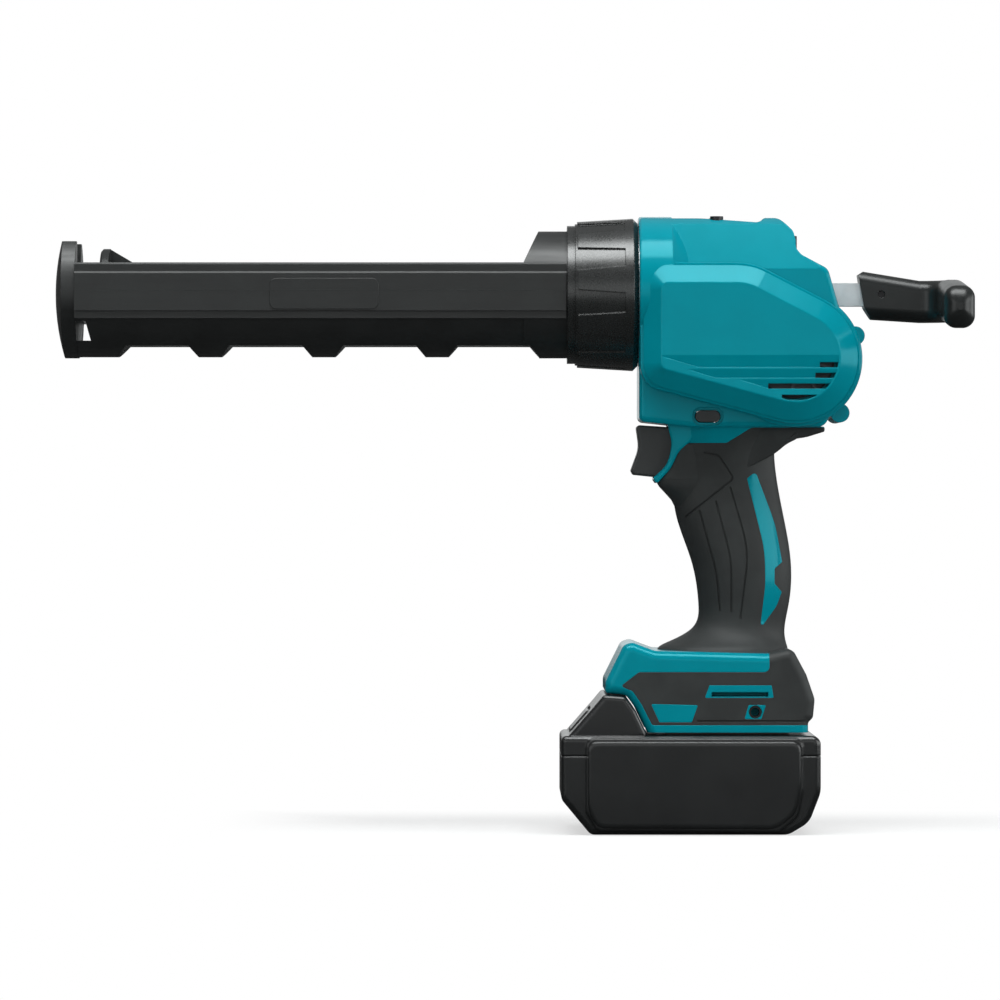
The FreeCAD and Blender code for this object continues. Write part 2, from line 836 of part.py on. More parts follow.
screw_hole = d.piston_screw_radius + d.seat_gap
head_depth = d.piston_screw_head - d.piston_screw_radius
head_end = d.piston_face_x + head_depth
draw_loop(screw_sketch, [
    (d.piston_face_x, 0), (d.piston_face_x, d.piston_screw_head + d.seat_gap),
    (head_end, screw_hole), (d.rod_front_x, screw_hole), (d.rod_front_x, 0)])
revolve(piston, screw_sketch, "Groove")

screw_end = d.piston_face_x + d.piston_screw_length
turned_piece("piston_screw", [
    (d.piston_face_x, 0), (d.piston_face_x, d.piston_screw_head), (head_end, d.piston_screw_radius),
    (screw_end, d.piston_screw_radius), (screw_end, 0)])

rack_pitch = math.pi * d.rack_module
pinion_radius = d.rack_module * d.output_teeth / 2
pitch_line = AXIS - d.rod_height / 2 + d.rack_module * d.tooth_reach
output = (d.output_x, pitch_line - pinion_radius)


def rod_outline():
    """Side view of the rod: plain bar above, rack gaps along its underside."""
    lean = math.tan(math.radians(d.pressure_angle))
    top = AXIS + d.rod_height / 2
    tip = AXIS - d.rod_height / 2
    root = pitch_line + d.rack_module * d.tooth_root
    gap_half = (rack_pitch / 2 + d.tooth_backlash) / 2
    gap_tip = gap_half + (pitch_line - tip) * lean
    gap_root = gap_half - (root - pitch_line) * lean
    ahead = math.ceil((d.rod_travel + d.rod_overrun) / rack_pitch)
    behind = math.ceil(d.rod_overrun / rack_pitch) + 1
    corners = [(d.rod_rear_x, tip), (d.rod_rear_x, top), (d.rod_front_x, top), (d.rod_front_x, tip)]
    for number in range(-ahead, behind + 1):
        middle = d.output_x + number * rack_pitch
        corners += [(middle - gap_tip, tip), (middle - gap_root, root),
                    (middle + gap_root, root), (middle + gap_tip, tip)]
    return corners


rod = prism(rod_outline(), -d.rod_width / 2, d.rod_width / 2)
rod = rod.cut(barrel(d.piston_screw_radius + d.seat_gap, d.rod_front_x - 1, screw_end + 1))
rod = rod.cut(drum(d.grip_pin_radius + d.seat_gap, d.grip_pin_x, AXIS, -d.rod_width, d.rod_width))
solid_piece("push_rod", rod)


# Hooked rod grip and its cross pin

def rounded_section(centre, side, width, height, radius):
    """Upright rounded rectangle about centre, its width along the level direction side."""
    up = Vector(0, 0, 1)
    half_width = width / 2
    half_height = height / 2
    points = []
    for across, rise in ((1, -1), (1, 1), (-1, 1), (-1, -1)):
        corner = centre + side * (across * half_width) + up * (rise * half_height)
        into_side = side * (-across * radius)
        into_up = up * (-rise * radius)
        bend = corner + (into_side + into_up) * (1 - math.sqrt(0.5))
        ends = [corner + into_up, corner + into_side]
        if across * rise > 0:
            points.append((ends[0], bend, ends[1]))
        else:
            points.append((ends[1], bend, ends[0]))
    edges = []
    for index, (start, bend, end) in enumerate(points):
        edges.append(Part.Arc(start, bend, end).toShape())
        edges.append(Part.LineSegment(end, points[(index + 1) % 4][0]).toShape())
    return Part.Wire(edges)


# Cut that slants the front end of the grip, counted from grip_front_x and the axis
GRIP_FRONT = ((4.6, 12.0), (0.0, 9.1), (2.6, -5.9), (6.8, -12.9), (-5.0, -12.9), (-5.0, 12.0))


def grip_solid():
    """Tapered arm along the rod, a quarter turn towards -Y, and an arm with a round tip."""
    bend = d.grip_width
    straight = d.grip_bend_x - bend
    along_y = Vector(0, 1, 0)
    along_x = Vector(1, 0, 0)

    def section(x, y, drop, side, height, share=1.0):
        width = d.grip_width * share
        centre = Vector(x, y, AXIS - drop)
        return rounded_section(centre, side, width, height * share, width * 0.4)

    elbow_start = section(straight, 0, d.grip_bend_drop, along_y, d.grip_rear_height)
    rear_arm = Part.makeLoft([
        section(d.grip_front_x, 0, 0, along_y, d.grip_front_height), elbow_start], True, True)
    slant = prism([(d.grip_front_x + x, AXIS + z) for x, z in GRIP_FRONT], -d.grip_width, d.grip_width)
    elbow = Part.Face(elbow_start).revolve(Vector(straight, -bend, 0), Vector(0, 0, 1), -90)
    tip_y = -d.grip_reach
    dome = []
    for degrees in (0, 25, 45, 65, 80):
        turn = math.radians(degrees)
        y = tip_y + d.grip_tip_round * (1 - math.sin(turn))
        dome.append(section(d.grip_bend_x, y, d.grip_tip_drop, along_x, d.grip_rear_height, math.cos(turn)))
    side_arm = Part.makeLoft([
        section(d.grip_bend_x, -bend, d.grip_bend_drop, along_x, d.grip_rear_height), dome[0]], True, True)
    tip = Part.makeLoft(dome, True, False)
    bar = block(d.grip_front_x - 1, d.rod_rear_x + d.seat_gap, -slot_half_width, slot_half_width,
                AXIS - slot_half_height, AXIS + slot_half_height)
    pin = drum(d.grip_pin_radius + d.seat_gap, d.grip_pin_x, AXIS, -d.grip_width, d.grip_width)
    return joined(rear_arm, elbow, side_arm, tip).cut(slant).cut(bar).cut(pin)


solid_piece("rod_grip", grip_solid())
pin_half = d.grip_width / 2 - d.grip_pin_sink
turned_piece("grip_pin", tube_profile(-pin_half, pin_half, 0, d.grip_pin_radius),
             x=d.grip_pin_x, rotation=TURN_TO_Y)

# Gear train: motor pinion, two compound gears, final gear on a slip clutch, rack pinion

motor = (d.motor_x, AXIS - d.motor_drop)
first_reach = d.first_module * (d.motor_pinion_teeth + d.first_wheel_teeth) / 2
second_reach = d.second_module * (d.first_pinion_teeth + d.second_wheel_teeth) / 2
final_reach = d.final_module * (d.second_pinion_teeth + d.final_wheel_teeth) / 2
first_way = math.pi + math.radians(d.first_mesh_angle)
first = (motor[0] + first_reach * math.cos(first_way), motor[1] + first_reach * math.sin(first_way))
second = meeting_point(first, second_reach, output, final_reach)

final_near = d.final_gear_y
second_near = final_near + d.gear_plane_step
first_near = second_near + d.gear_plane_step

motor_turn = 0.0
first_turn = mesh_turn(motor, d.motor_pinion_teeth, motor_turn, first, d.first_wheel_teeth)
second_turn = mesh_turn(first, d.first_pinion_teeth, first_turn, second, d.second_wheel_teeth)
final_turn = mesh_turn(second, d.second_pinion_teeth, second_turn, output, d.final_wheel_teeth)
pin_bore = d.gear_pin_radius + d.shaft_gap


def compound_gear(wheel_module, wheel_teeth, pinion_module, pinion_teeth, centre, wheel_near, turn):
    """Large wheel with the smaller pinion of the next stage on its near side."""
    wheel_far = wheel_near + d.gear_width
    wheel = gear_solid(wheel_module, wheel_teeth, centre, wheel_near, wheel_far, turn)
    pinion_near = wheel_near - d.gear_plane_step + d.slide_gap
    pinion = gear_solid(pinion_module, pinion_teeth, centre, pinion_near, wheel_near, turn)
    bore = drum(pin_bore, centre[0], centre[1], pinion_near - 1, wheel_far + 1)
    return wheel.fuse(pinion).cut(bore)


solid_piece("first_gear", compound_gear(d.first_module, d.first_wheel_teeth, d.second_module,
                                        d.first_pinion_teeth, first, first_near, first_turn))
solid_piece("second_gear", compound_gear(d.second_module, d.second_wheel_teeth, d.final_module,
                                         d.second_pinion_teeth, second, second_near, second_turn))

gear_pins = []
for centre, wheel_near in ((first, first_near), (second, second_near)):
    pin_near = wheel_near - d.gear_plane_step - d.gear_pin_seat
    pin_far = wheel_near + d.gear_width + d.gear_pin_seat
    gear_pins.append((centre, pin_near, pin_far))
solid_piece("gear_pins", Part.makeCompound(
    [drum(d.gear_pin_radius, centre[0], centre[1], near, far) for centre, near, far in gear_pins]))

pinion_half = d.rack_pinion_width / 2
bush_near = pinion_half + 2 * d.slide_gap
bush_far = bush_near + d.output_bush_length
clutch_near = bush_far + d.slide_gap
clutch_far = clutch_near + d.clutch_thickness
final_gear_near = clutch_far + d.seat_gap
final_gear_far = second_near - 4 * d.slide_gap
shaft_end = second_near - d.slide_gap
shaft = gear_solid(d.rack_module, d.output_teeth, output, -pinion_half, pinion_half, math.pi / 2)
shaft = shaft.fuse(drum(d.output_shaft_radius, output[0], output[1], -bush_far, shaft_end))
solid_piece("output_shaft", shaft)


def ring_along_y(label, inner, outer, near, far):
    return turned_piece(label, tube_profile(near, far, inner, outer),
                        x=d.output_x, z=output[1], rotation=TURN_TO_Y)


journal = d.output_shaft_radius + d.shaft_gap
ring_along_y("near_shaft_bush", journal, d.output_bush_radius, -bush_far, -bush_near)
ring_along_y("far_shaft_bush", journal, d.output_bush_radius, bush_near, bush_far)
ring_along_y("clutch_plate", journal, d.clutch_radius, clutch_near, clutch_far)
ring_along_y("clutch_washer", journal, d.clutch_radius / 1.6, final_gear_far + d.seat_gap,
             shaft_end - d.seat_gap)
final_gear = gear_solid(d.final_module, d.final_wheel_teeth, output, final_gear_near, final_gear_far,
                        final_turn)
final_gear = final_gear.cut(drum(journal, output[0], output[1], final_gear_near - 1, final_gear_far + 1))
solid_piece("final_gear", final_gear)

# Motor: can, magnets, end cap, brushes, armature, commutator, shaft, pinion and fan

motor_rear_y = d.motor_front_y - d.motor_length
cap_rear_y = motor_rear_y - d.end_cap_length
shaft_hole = d.motor_shaft_radius + d.shaft_gap


def motor_piece(label, profile):
    return turned_piece(label, profile, x=d.motor_x, z=AXIS - d.motor_drop, rotation=TURN_TO_Y)


can_inside = d.motor_radius - d.motor_wall
can_floor = d.motor_front_y - d.motor_wall
boss_radius = 5.0
motor_piece("motor_can", [
    (motor_rear_y, can_inside), (can_floor, can_inside), (can_floor, shaft_hole),
    (d.motor_front_y + d.motor_wall, shaft_hole), (d.motor_front_y + d.motor_wall, boss_radius),
    (d.motor_front_y, boss_radius), (d.motor_front_y, d.motor_radius), (motor_rear_y, d.motor_radius)])
cap_lip = 2.0
motor_piece("motor_end_cap", [
    (cap_rear_y, shaft_hole), (motor_rear_y + cap_lip, shaft_hole), (motor_rear_y + cap_lip, boss_radius),
    (motor_rear_y, boss_radius), (motor_rear_y, d.motor_radius), (cap_rear_y, d.motor_radius)])

rotor_near = motor_rear_y + 12
rotor_far = can_floor - 6
magnet_inside = can_inside - 3
rotor_radius = magnet_inside - 0.6
motor_centre = Vector(motor[0], 0, motor[1])
magnet_ring = drum(can_inside - d.seat_gap, *motor, rotor_near, rotor_far)
magnet_ring = magnet_ring.cut(drum(magnet_inside, *motor, rotor_near - 1, rotor_far + 1))
magnet_gap = block(motor[0] - 5, motor[0] + 5, rotor_near - 1, rotor_far + 1,
                   motor[1] - d.motor_radius, motor[1] + d.motor_radius)
solid_piece("motor_magnets", magnet_ring.cut(magnet_gap))

slot_count = 5
armature = drum(rotor_radius, *motor, rotor_near, rotor_far)
for number in range(slot_count):
    slot_cut = block(motor[0] + 6, motor[0] + rotor_radius + 1, rotor_near - 1, rotor_far + 1,
                     motor[1] - 1.2, motor[1] + 1.2)
    slot_cut.rotate(motor_centre, Vector(0, 1, 0), 360 / slot_count * number)
    armature = armature.cut(slot_cut)
armature = armature.cut(drum(shaft_hole, *motor, rotor_near - 1, rotor_far + 1))
solid_piece("motor_armature", armature)
motor_piece("motor_commutator", tube_profile(motor_rear_y + 5, rotor_near - 1, shaft_hole, boss_radius))
brush_blocks = []
for side in (-1, 1):
    inner = motor[0] + side * (boss_radius + 0.3)
    outer = motor[0] + side * (can_inside - 0.3)
    brush_blocks.append(block(min(inner, outer), max(inner, outer), motor_rear_y + 5.5, rotor_near - 2,
                              motor[1] - 2, motor[1] + 2))
solid_piece("motor_brushes", Part.makeCompound(brush_blocks))

fan_far = cap_rear_y - 1.4
fan_near = fan_far - d.fan_length
pinion_far = first_near + d.gear_width + 0.6
motor_piece("motor_shaft", tube_profile(fan_near, pinion_far, 0, d.motor_shaft_radius))
motor_pinion = gear_solid(
    d.first_module, d.motor_pinion_teeth, motor, first_near - 0.4, pinion_far, motor_turn)
solid_piece("motor_pinion", motor_pinion.cut(drum(shaft_hole, *motor, first_near - 1, pinion_far + 1)))

fan_plate = 1.2
fan_hub = 5.5
fan = drum(d.fan_radius, *motor, fan_far - fan_plate, fan_far)
fan = fan.fuse(drum(fan_hub, *motor, fan_near, fan_far))
for number in range(int(d.fan_blades)):
    blade = block(motor[0] + fan_hub - 1, motor[0] + d.fan_radius - 0.3, fan_near, fan_far - fan_plate / 2,
                  motor[1] - 0.7, motor[1] + 0.7)
    blade.rotate(Vector(motor[0] + fan_hub, 0, motor[1]), Vector(0, 1, 0), 25)
    blade.rotate(motor_centre, Vector(0, 1, 0), 360 / d.fan_blades * number)
    fan = fan.fuse(blade)
fan = fan.common(drum(d.fan_radius, *motor, fan_near, fan_far))
solid_piece("motor_fan", fan.cut(drum(shaft_hole, *motor, fan_near - 1, fan_far + 1)).removeSplitter())

# Housing: nose collar, narrow core, side bulges over motor and gears, handle and foot

def from_axis(corners):
    """Corners whose heights are counted from the barrel axis."""
    return [(corner[0], AXIS + corner[1], *corner[2:]) for corner in corners]


def slab(front, length, width, low, height, clearance=0):
    """Box centred on the middle plane, grown all round by a clearance."""
    half = width / 2 + clearance
    return block(front - clearance, front + length + clearance, -half, half,
                 low - clearance, low + height + clearance)


def post(radius, x, y, low, high):
    """Upright cylinder."""
    return Part.makeCylinder(radius, high - low, Vector(x, y, low))


def bar(radius, front, rear, z):
    """Cylinder along X in the middle plane."""
    return Part.makeCylinder(radius, rear - front, Vector(front, 0, z), Vector(1, 0, 0))


def on_both_sides(near, far, make):
    """The same cut on the near and the far side of the tool."""
    return [make(near, far), make(-far, -near)]


# Half width that reaches past both sides of the tool, and a length past its ends
OUTSIDE = 60.0
REACH = 400.0


def bulge_solid():
    """Side bulge: straight front and top, then round the motor between two tangents."""
    half = d.bulge_half_width
    radius = d.bulge_radius
    down = math.radians(90 - d.bulge_top_slope)
    low = math.radians(270 - d.bulge_bottom_slope)
    upper = (motor[0] + radius * math.cos(down), motor[1] + radius * math.sin(down))
    lower = (motor[0] + radius * math.cos(low), motor[1] + radius * math.sin(low))
    top = AXIS + d.bulge_top
    shoulder_x = upper[0] - (top - upper[1]) / math.tan(math.radians(d.bulge_top_slope))
    front_low = lower[1] + (lower[0] - d.bulge_front_x) * math.tan(math.radians(d.bulge_bottom_slope))
    frame = prism([
        (d.bulge_front_x, top, d.bulge_corner), (shoulder_x, top, d.bulge_radius), upper, motor, lower,
        (d.bulge_front_x, front_low, d.bulge_corner)], -half, half)
    bulge = joined(frame, drum(radius, *motor, -half, half))
    rims = [edge for edge in bulge.Edges if on_sides(half)(edge)]
    bulge = bulge.makeChamfer(d.bulge_bevel_depth, d.bulge_bevel, rims)
    return soften(bulge, d.bulge_round, on_sides(half))


collar_rear = d.nose_x + d.collar_length


def along_x(corners, front, rear):
    """Prism along X from (y, z) corners."""
    points = [Vector(front, *corner) for corner in corners]
    return Part.Face(Part.makePolygon(points + points[:1])).extrude(Vector(rear - front, 0, 0))


def core_solids():
    """Upper body with sloping sides and a stepped rear, the block above the trigger, and the nose."""
    half = d.core_half_width
    start = collar_rear - d.edge_round
    dial_face = d.dial_x + d.dial_radius - d.dial_reach
    upper = prism(from_axis([
        (start, -30), (start, d.core_top), (4.6, d.core_top, 60), (30.8, d.core_top - 2.2, 4),
        (33.4, d.core_top + 0.2, 2.6), (39.7, d.core_top + 0.2, 5), (dial_face - 1, 28.4, 5),
        (dial_face, 24, 5), (dial_face, 20.4, 4), (49.6, 17.4, 5), (61.6, 11, 5), (67.6, -10, 9),
        (62, -30)]), -half, half)
    neck = d.neck_half_width
    lower = prism(from_axis([
        (d.nose_x, -20), (d.nose_x, 2.6 - d.neck_drop, 2.6), (-11, 1.2 - d.neck_drop), (0, -d.neck_drop),
        (60, -d.neck_drop, 5), (68, -46, 5), (60, -20)]), -neck, neck)
    collar = barrel(d.collar_radius, d.nose_x, collar_rear)
    collar = soften(collar, 1.2, lambda edge: edge.BoundBox.XMax < d.nose_x + 0.01)
    cone = Part.makeCone(d.collar_radius, d.collar_radius - d.collar_scoop, d.collar_scoop,
                         Vector(collar_rear, 0, AXIS), Vector(1, 0, 0))
    round_end = drum(d.round_end_radius, *motor, -half, half)
    upper = soften(upper, d.edge_round, on_sides(half))
    shoulder = AXIS + d.core_shoulder
    ridge = shoulder + half / math.tan(math.radians(d.core_slope))
    roof = along_x([(-half, 0), (half, 0), (half, shoulder), (0, ridge), (-half, shoulder)], start, REACH)
    crown = barrel(d.collar_radius, start, REACH).fuse(block(start, REACH, -half, half, 0, AXIS))
    return [upper.common(roof).common(crown), soften(lower, d.edge_round, on_sides(neck)),
            collar, cone, soften(round_end, d.edge_round, on_sides(half))]


lugs = [(74.3, AXIS - 19.2), (67.4, AXIS - 54.2)]
lug_half = d.neck_half_width - d.edge_round
lug_solids = [drum(d.lug_radius, x, z, -lug_half, lug_half) for x, z in lugs]

# Handle stations: height, front, rear and half width.  The upper ones hang from the
# barrel axis and the lower ones stand on the foot.
UPPER_STATIONS = ((-57.5, -10.0, 48.0, 17.0), (-71.0, -8.0, 38.6, 15.2), (-95.0, -7.4, 41.5, 15.2))
LOWER_STATIONS = (
    (57.0, -5.0, 43.6, 16.2), (38.0, 1.4, 46.2, 16.8), (23.0, 3.7, 45.4, 16.2), (13.5, 3.0, 43.6, 16.0),
    (7.5, -3.0, 43.2, 18.0), (2.0, -14.0, 44.4, 24.0), (-4.0, -16.0, 45.0, 26.0))


def handle_loft(inset):
    stations = [(AXIS + height, *rest) for height, *rest in UPPER_STATIONS]
    stations += [(d.foot_top + height, *rest) for height, *rest in LOWER_STATIONS]
    wires = []
    for height, front, rear, half_width in stations:
        centre = Vector((front + rear) / 2, 0, height)
        along = Vector((rear - front) / 2 - inset, 0, 0)
        across = Vector(0, half_width - inset, 0)
        wires.append(Part.Wire([Part.Ellipse(centre + along, centre + across, centre).toShape()]))
    return Part.makeLoft(wires, True, False, False, 3)


def tang_solid():
    """Tang of the soft grip that reaches out over the hand."""
    half = d.tang_half_width
    tang = prism(from_axis([
        (30, -58), (60.8, -60.4, 0.8), (60.8, -62.6, 1), (53, -65, 8), (44, -66.4, 8), (39, -71, 6),
        (30, -76)]), -half, half)
    return soften(tang, 1.0, on_sides(half))


def guard_solid():
    """Crescent on each side of the trigger that ends in a spur under it."""
    half = d.guard_half_width
    crescent = prism(from_axis([
        (-11, -58), (-8.6, -68, 14), (-10.6, -77.5, 12), (-17.4, -83.8, 1.2), (-15.6, -86.4, 0.8),
        (-9.2, -79.4, 12), (-5.4, -71.5, 9), (0, -67), (4, -58)]), -half, half)
    return soften(crescent, 1.0, on_sides(half))


def foot_solid(inset):
    """Foot over the battery, with the nose that reaches out over the release button."""
    half = d.foot_half_width - inset
    top = d.foot_top
    bottom = d.foot_bottom
    foot = prism([
        (-39.3, bottom + 17.7, 1.2), (-39.3, bottom + 23, 5), (-31, top + 3.6, 4), (-27, top + 4.6, 4),
        (-17, top + 0.8, 8), (34, top - 0.5, 4), (45, top + 2, 4), (51.4, top - 10, 8),
        (55.2, bottom + 15, 6), (54.4, bottom + 6.6, 3), (52.2, bottom + 4.4, 2), (52.2, bottom),
        (-20.4, bottom), (-25.4, bottom + 10.4, 6), (-30, bottom + 16.8, 4)], -half, half)

    def upper_side(edge):
        return on_sides(half)(edge) and edge.BoundBox.ZMin > bottom + 17

    return soften(foot, d.foot_round, upper_side)


def strip(points, width):
    """Narrow band along a line of (x, z, corner radius) points, right through the tool."""
    half = width / 2
    flat = [Vector(point[0], 0, point[1]) for point in points]
    ways = [(after - before).normalize() for before, after in zip(flat, flat[1:])]
    left = []
    right = []
    for index, point in enumerate(flat):
        before = ways[max(index - 1, 0)]
        after = ways[min(index, len(ways) - 1)]
        middle = (before + after).normalize()
        reach = half / middle.dot(after)
        offset = Vector(-middle.z, 0, middle.x) * reach
        radius = points[index][2] if len(points[index]) > 2 else 0
        turn = math.copysign(half, before.x * after.z - before.z * after.x)
        left.append((point.x + offset.x, point.z + offset.z, *([radius - turn] if radius else [])))
        right.append((point.x - offset.x, point.z - offset.z, *([radius + turn] if radius else [])))
    return prism(left + right[::-1], -OUTSIDE, OUTSIDE)


def through(corners):
    """Outline carried right through the tool."""
    return prism(corners, -OUTSIDE, OUTSIDE)


foot_low = d.foot_bottom
handle_region = through(
    from_axis([(-25, -85.6), (-15.2, -85.6), (-9.2, -79.4, 12), (-5.4, -71.5, 9), (-2.6, -67.8, 2),
               (16, -67.8, 3), (27.4, -60.8, 5), (75, -60.8)])
    + [(75, foot_low + 31), (34.6, foot_low + 31, 3), (29, foot_low + 35.4, 3), (-25, foot_low + 35.4)])
foot_region = through([
    (-32.4, foot_low + 20.9, 0.8), (-24.2, foot_low + 27.2, 2), (34.6, foot_low + 27.2, 2.5),
    (34.6, d.foot_top + 8), (75, d.foot_top + 8), (75, foot_low + 3.3), (-18.2, foot_low + 3.3, 1.5),
    (-23.2, foot_low + 13, 5), (-27, foot_low + 18.6, 3)])
handle_strip = through([
    (25.4, 160.6, 0.8), (29.4, 163.8, 1.5), (38.4, 140, 60), (41.6, 122.6, 0.8), (38, 119.6, 1),
    (38, 112.8, 1), (41.4, 109, 0.8), (39, 102.6, 10), (31.2, 92, 0.8), (33.6, 112, 40), (33.4, 128, 60)])
slot_low = foot_low + d.hook_slot_rise
slot_rear = d.hook_slot_x + d.hook_slot_length
slot_window = through([
    (d.hook_slot_x - 3.1, slot_low - 0.6, 0.6), (d.hook_slot_x - 1, slot_low + 5.1, 0.6),
    (slot_rear + 1.5, slot_low + 5.1, 0.6), (slot_rear + 2.4, slot_low - 0.6, 0.6)])
plain_window = through([
    (-18.8, foot_low + 12.9, 0.6), (2.4, foot_low + 12.4, 0.6),
    (-0.4, foot_low + 4.6, 0.6), (-15, foot_low + 4.6, 0.6)])
hook_hole = (d.hook_hole_x, foot_low + d.hook_hole_rise)
hook_window = through([
    (hook_hole[0] - 3, hook_hole[1] + 3.2, 0.6), (hook_hole[0] + 4.9, hook_hole[1] + 3.2, 0.6),
    (hook_hole[0] + 2.7, hook_hole[1] - 3.2, 0.6), (hook_hole[0] - 4.9, hook_hole[1] - 3.2, 0.6)])
grip_lines = [
    [(3.9, 146.2), (11.6, 118, 60), (13.3, 100)],
    [(11.2, 150.4), (18.2, 124, 60), (18.2, 99.6)],
    [(17.8, 156.8), (26, 128, 50), (22.3, 96.9)],
    [(-2.3, 143.2), (19.4, 160.6, 2), (12.6, 171, 3), (6, 172.4)]]

handle = handle_loft(0)
foot = foot_solid(0)
core = core_solids()
bulge = bulge_solid()
guard = guard_solid()
tang = tang_solid()
soft_handle = joined(handle, tang).cut(handle_loft(d.skin)).common(handle_region)
narrow_foot = foot_solid(d.skin)
for way in (Vector(-d.skin, 0, 0), Vector(0, 0, -d.skin)):
    narrow_foot = narrow_foot.common(foot_solid(d.skin).translated(way))
soft_foot = foot.cut(narrow_foot).common(foot_region)
soft_grip = joined(soft_handle, soft_foot)
for other in [bulge, guard, *core, handle_strip, slot_window, plain_window, hook_window]:
    soft_grip = soft_grip.cut(other)
shell = handle
for form in [foot, guard, tang, *core, bulge, *lug_solids]:
    shell = shell.fuse(form)
housing_blank = shell.cut(soft_grip)
outer_skin = handle.cut(handle_loft(d.grip_line_depth))
for line in grip_lines:
    soft_grip = soft_grip.cut(strip(line, d.grip_line_width).common(outer_skin))
foot_line = foot_low + d.foot_line_rise
soft_grip = soft_grip.cut(on_both_sides(
    d.foot_half_width - d.grip_line_depth, OUTSIDE,
    lambda near, far: block(d.foot_line_x, OUTSIDE, near, far, foot_line, foot_line + d.grip_line_width)))

# Trigger, switch and lock-off button

stem_z = AXIS - d.stem_drop
trigger_rear = d.trigger_rear_x
trigger = prism(from_axis([
    (-24.9, -59.5, 1.5), (trigger_rear, -60.9), (trigger_rear, -82.0), (-16.5, -83.2, 1.0),
    (-26.2, -82.2, 1.2), (-27.2, -80.2, 1.0), (-23.4, -70.0, 14.0)]),
    -d.trigger_half_width, d.trigger_half_width)
trigger = soften(trigger, 1.0, on_sides(d.trigger_half_width))
stem_end = trigger_rear + d.stem_length
solid_piece("trigger", trigger.fuse(bar(d.stem_radius, trigger_rear - 1, stem_end, stem_z)))

switch_front = trigger_rear + d.trigger_travel + 2 * d.slide_gap
switch_box = (switch_front, d.switch_length, d.switch_width, stem_z - d.switch_height * 0.6, d.switch_height)
bore_end = stem_end + d.trigger_travel + 2 * d.slide_gap
stem_bore = bar(d.stem_radius + d.slide_gap, switch_front - 1, bore_end, stem_z)
solid_piece("trigger_switch", slab(*switch_box).cut(stem_bore))


def oval(grow, near, far):
    """Bar of oval section along Y, grown from the section of the lock-off button."""
    across = d.button_length / 2 + grow
    up = d.button_height / 2 + grow
    middle = AXIS - d.button_drop
    corner = up * 0.98
    return prism([
        (d.button_x - across, middle - up, corner), (d.button_x + across, middle - up, corner),
        (d.button_x + across, middle + up, corner), (d.button_x - across, middle + up, corner)], near, far)


button_half = d.neck_half_width - d.button_sink
solid_piece("lock_off_button", oval(0, -button_half, button_half))

# Speed dial on its pin, with the small board under it, and the control board

dial_low = d.dial_height - d.dial_thickness / 2
dial = turned_piece("speed_dial", tube_profile(
    -d.dial_thickness / 2, d.dial_thickness / 2, d.dial_pin_radius + d.shaft_gap, d.dial_radius),
    x=d.dial_x, z=AXIS + d.dial_height, rotation=TURN_TO_Z)
knurl_sketch = new_sketch(dial, "YZ_Plane")
draw_circle(knurl_sketch, d.knurl_radius, d.dial_radius, 0)
around(dial, pocket(dial, knurl_sketch), d.knurl_count)

dial_bottom = AXIS + dial_low
dial_top = dial_bottom + d.dial_thickness
dial_board_top = dial_bottom - d.dial_board_gap
dial_board_low = dial_board_top - d.board_thickness
dial_pin_low = dial_board_low - d.dial_pin_seat
dial_pin_top = dial_top + d.dial_pin_seat
solid_piece("dial_pin", post(d.dial_pin_radius, d.dial_x, 0, dial_pin_low, dial_pin_top))
dial_pin_hole = post(
    d.dial_pin_radius + d.seat_gap, d.dial_x, 0, dial_pin_low - d.seat_gap, dial_pin_top + d.seat_gap)
dial_board_box = (d.dial_x - d.dial_board_length / 2, d.dial_board_length, d.dial_board_width, dial_board_low,
                  d.board_thickness)
solid_piece("dial_board", slab(*dial_board_box).cut(dial_pin_hole))

board_low = AXIS + d.board_height
board_top = board_low + d.board_thickness
board_box = (d.board_x, d.board_length, d.board_width, board_low, d.board_thickness)
regulator = block(d.board_x + 15, d.board_x + 25, 2, 14, board_low, board_top + 1.8)
relay = block(d.board_x + 2, d.board_x + 11, -13, -4, board_low, board_top + 4.4)
capacitor = post(3.6, d.board_x + 7, 6, board_low, board_top + d.board_parts)
solid_piece("control_board", joined(slab(*board_box), regulator, relay, capacitor))

# Rod guides in the housing

rear_bush_box = (d.rear_bush_x, d.rear_bush_length, d.rear_bush_width, AXIS - d.rear_bush_height / 2,
                 d.rear_bush_height)
rod_way = (sleeve_back, REACH, 2 * slot_half_width, AXIS - slot_half_height, 2 * slot_half_height)
solid_piece("rear_rod_bush", slab(*rear_bush_box).cut(slab(*rod_way)))
wear_plate_box = (d.output_x - d.wear_plate_length / 2, d.wear_plate_length, d.wear_plate_width,
                  AXIS + slot_half_height, d.wear_plate_thickness)
solid_piece("rod_wear_plate", slab(*wear_plate_box))

# Foot: terminal block with its blades, threaded inserts for a belt hook

rail_lip_top = d.rail_lip_bottom + d.rail_lip_height
terminal_low = rail_lip_top + 2 * d.slide_gap
terminal_box = (d.terminal_x, d.terminal_length, d.terminal_width, terminal_low, d.terminal_height)
blade_x = d.terminal_x + d.blade_setback
blade_bottom = rail_lip_top - d.blade_reach
terminal_block = slab(*terminal_box)
blades = []
blade_height = terminal_low + d.blade_root - blade_bottom
blade_box = (blade_x, d.blade_length, d.blade_thickness, blade_bottom, blade_height)
for middle in (-d.terminal_y, d.terminal_y):
    shift = Vector(0, middle, 0)
    blades.append(slab(*blade_box).translated(shift))
    terminal_block = terminal_block.cut(slab(*blade_box, clearance=d.seat_gap).translated(shift))
solid_piece("terminal_block", terminal_block)
solid_piece("terminal_blades", Part.makeCompound(blades))

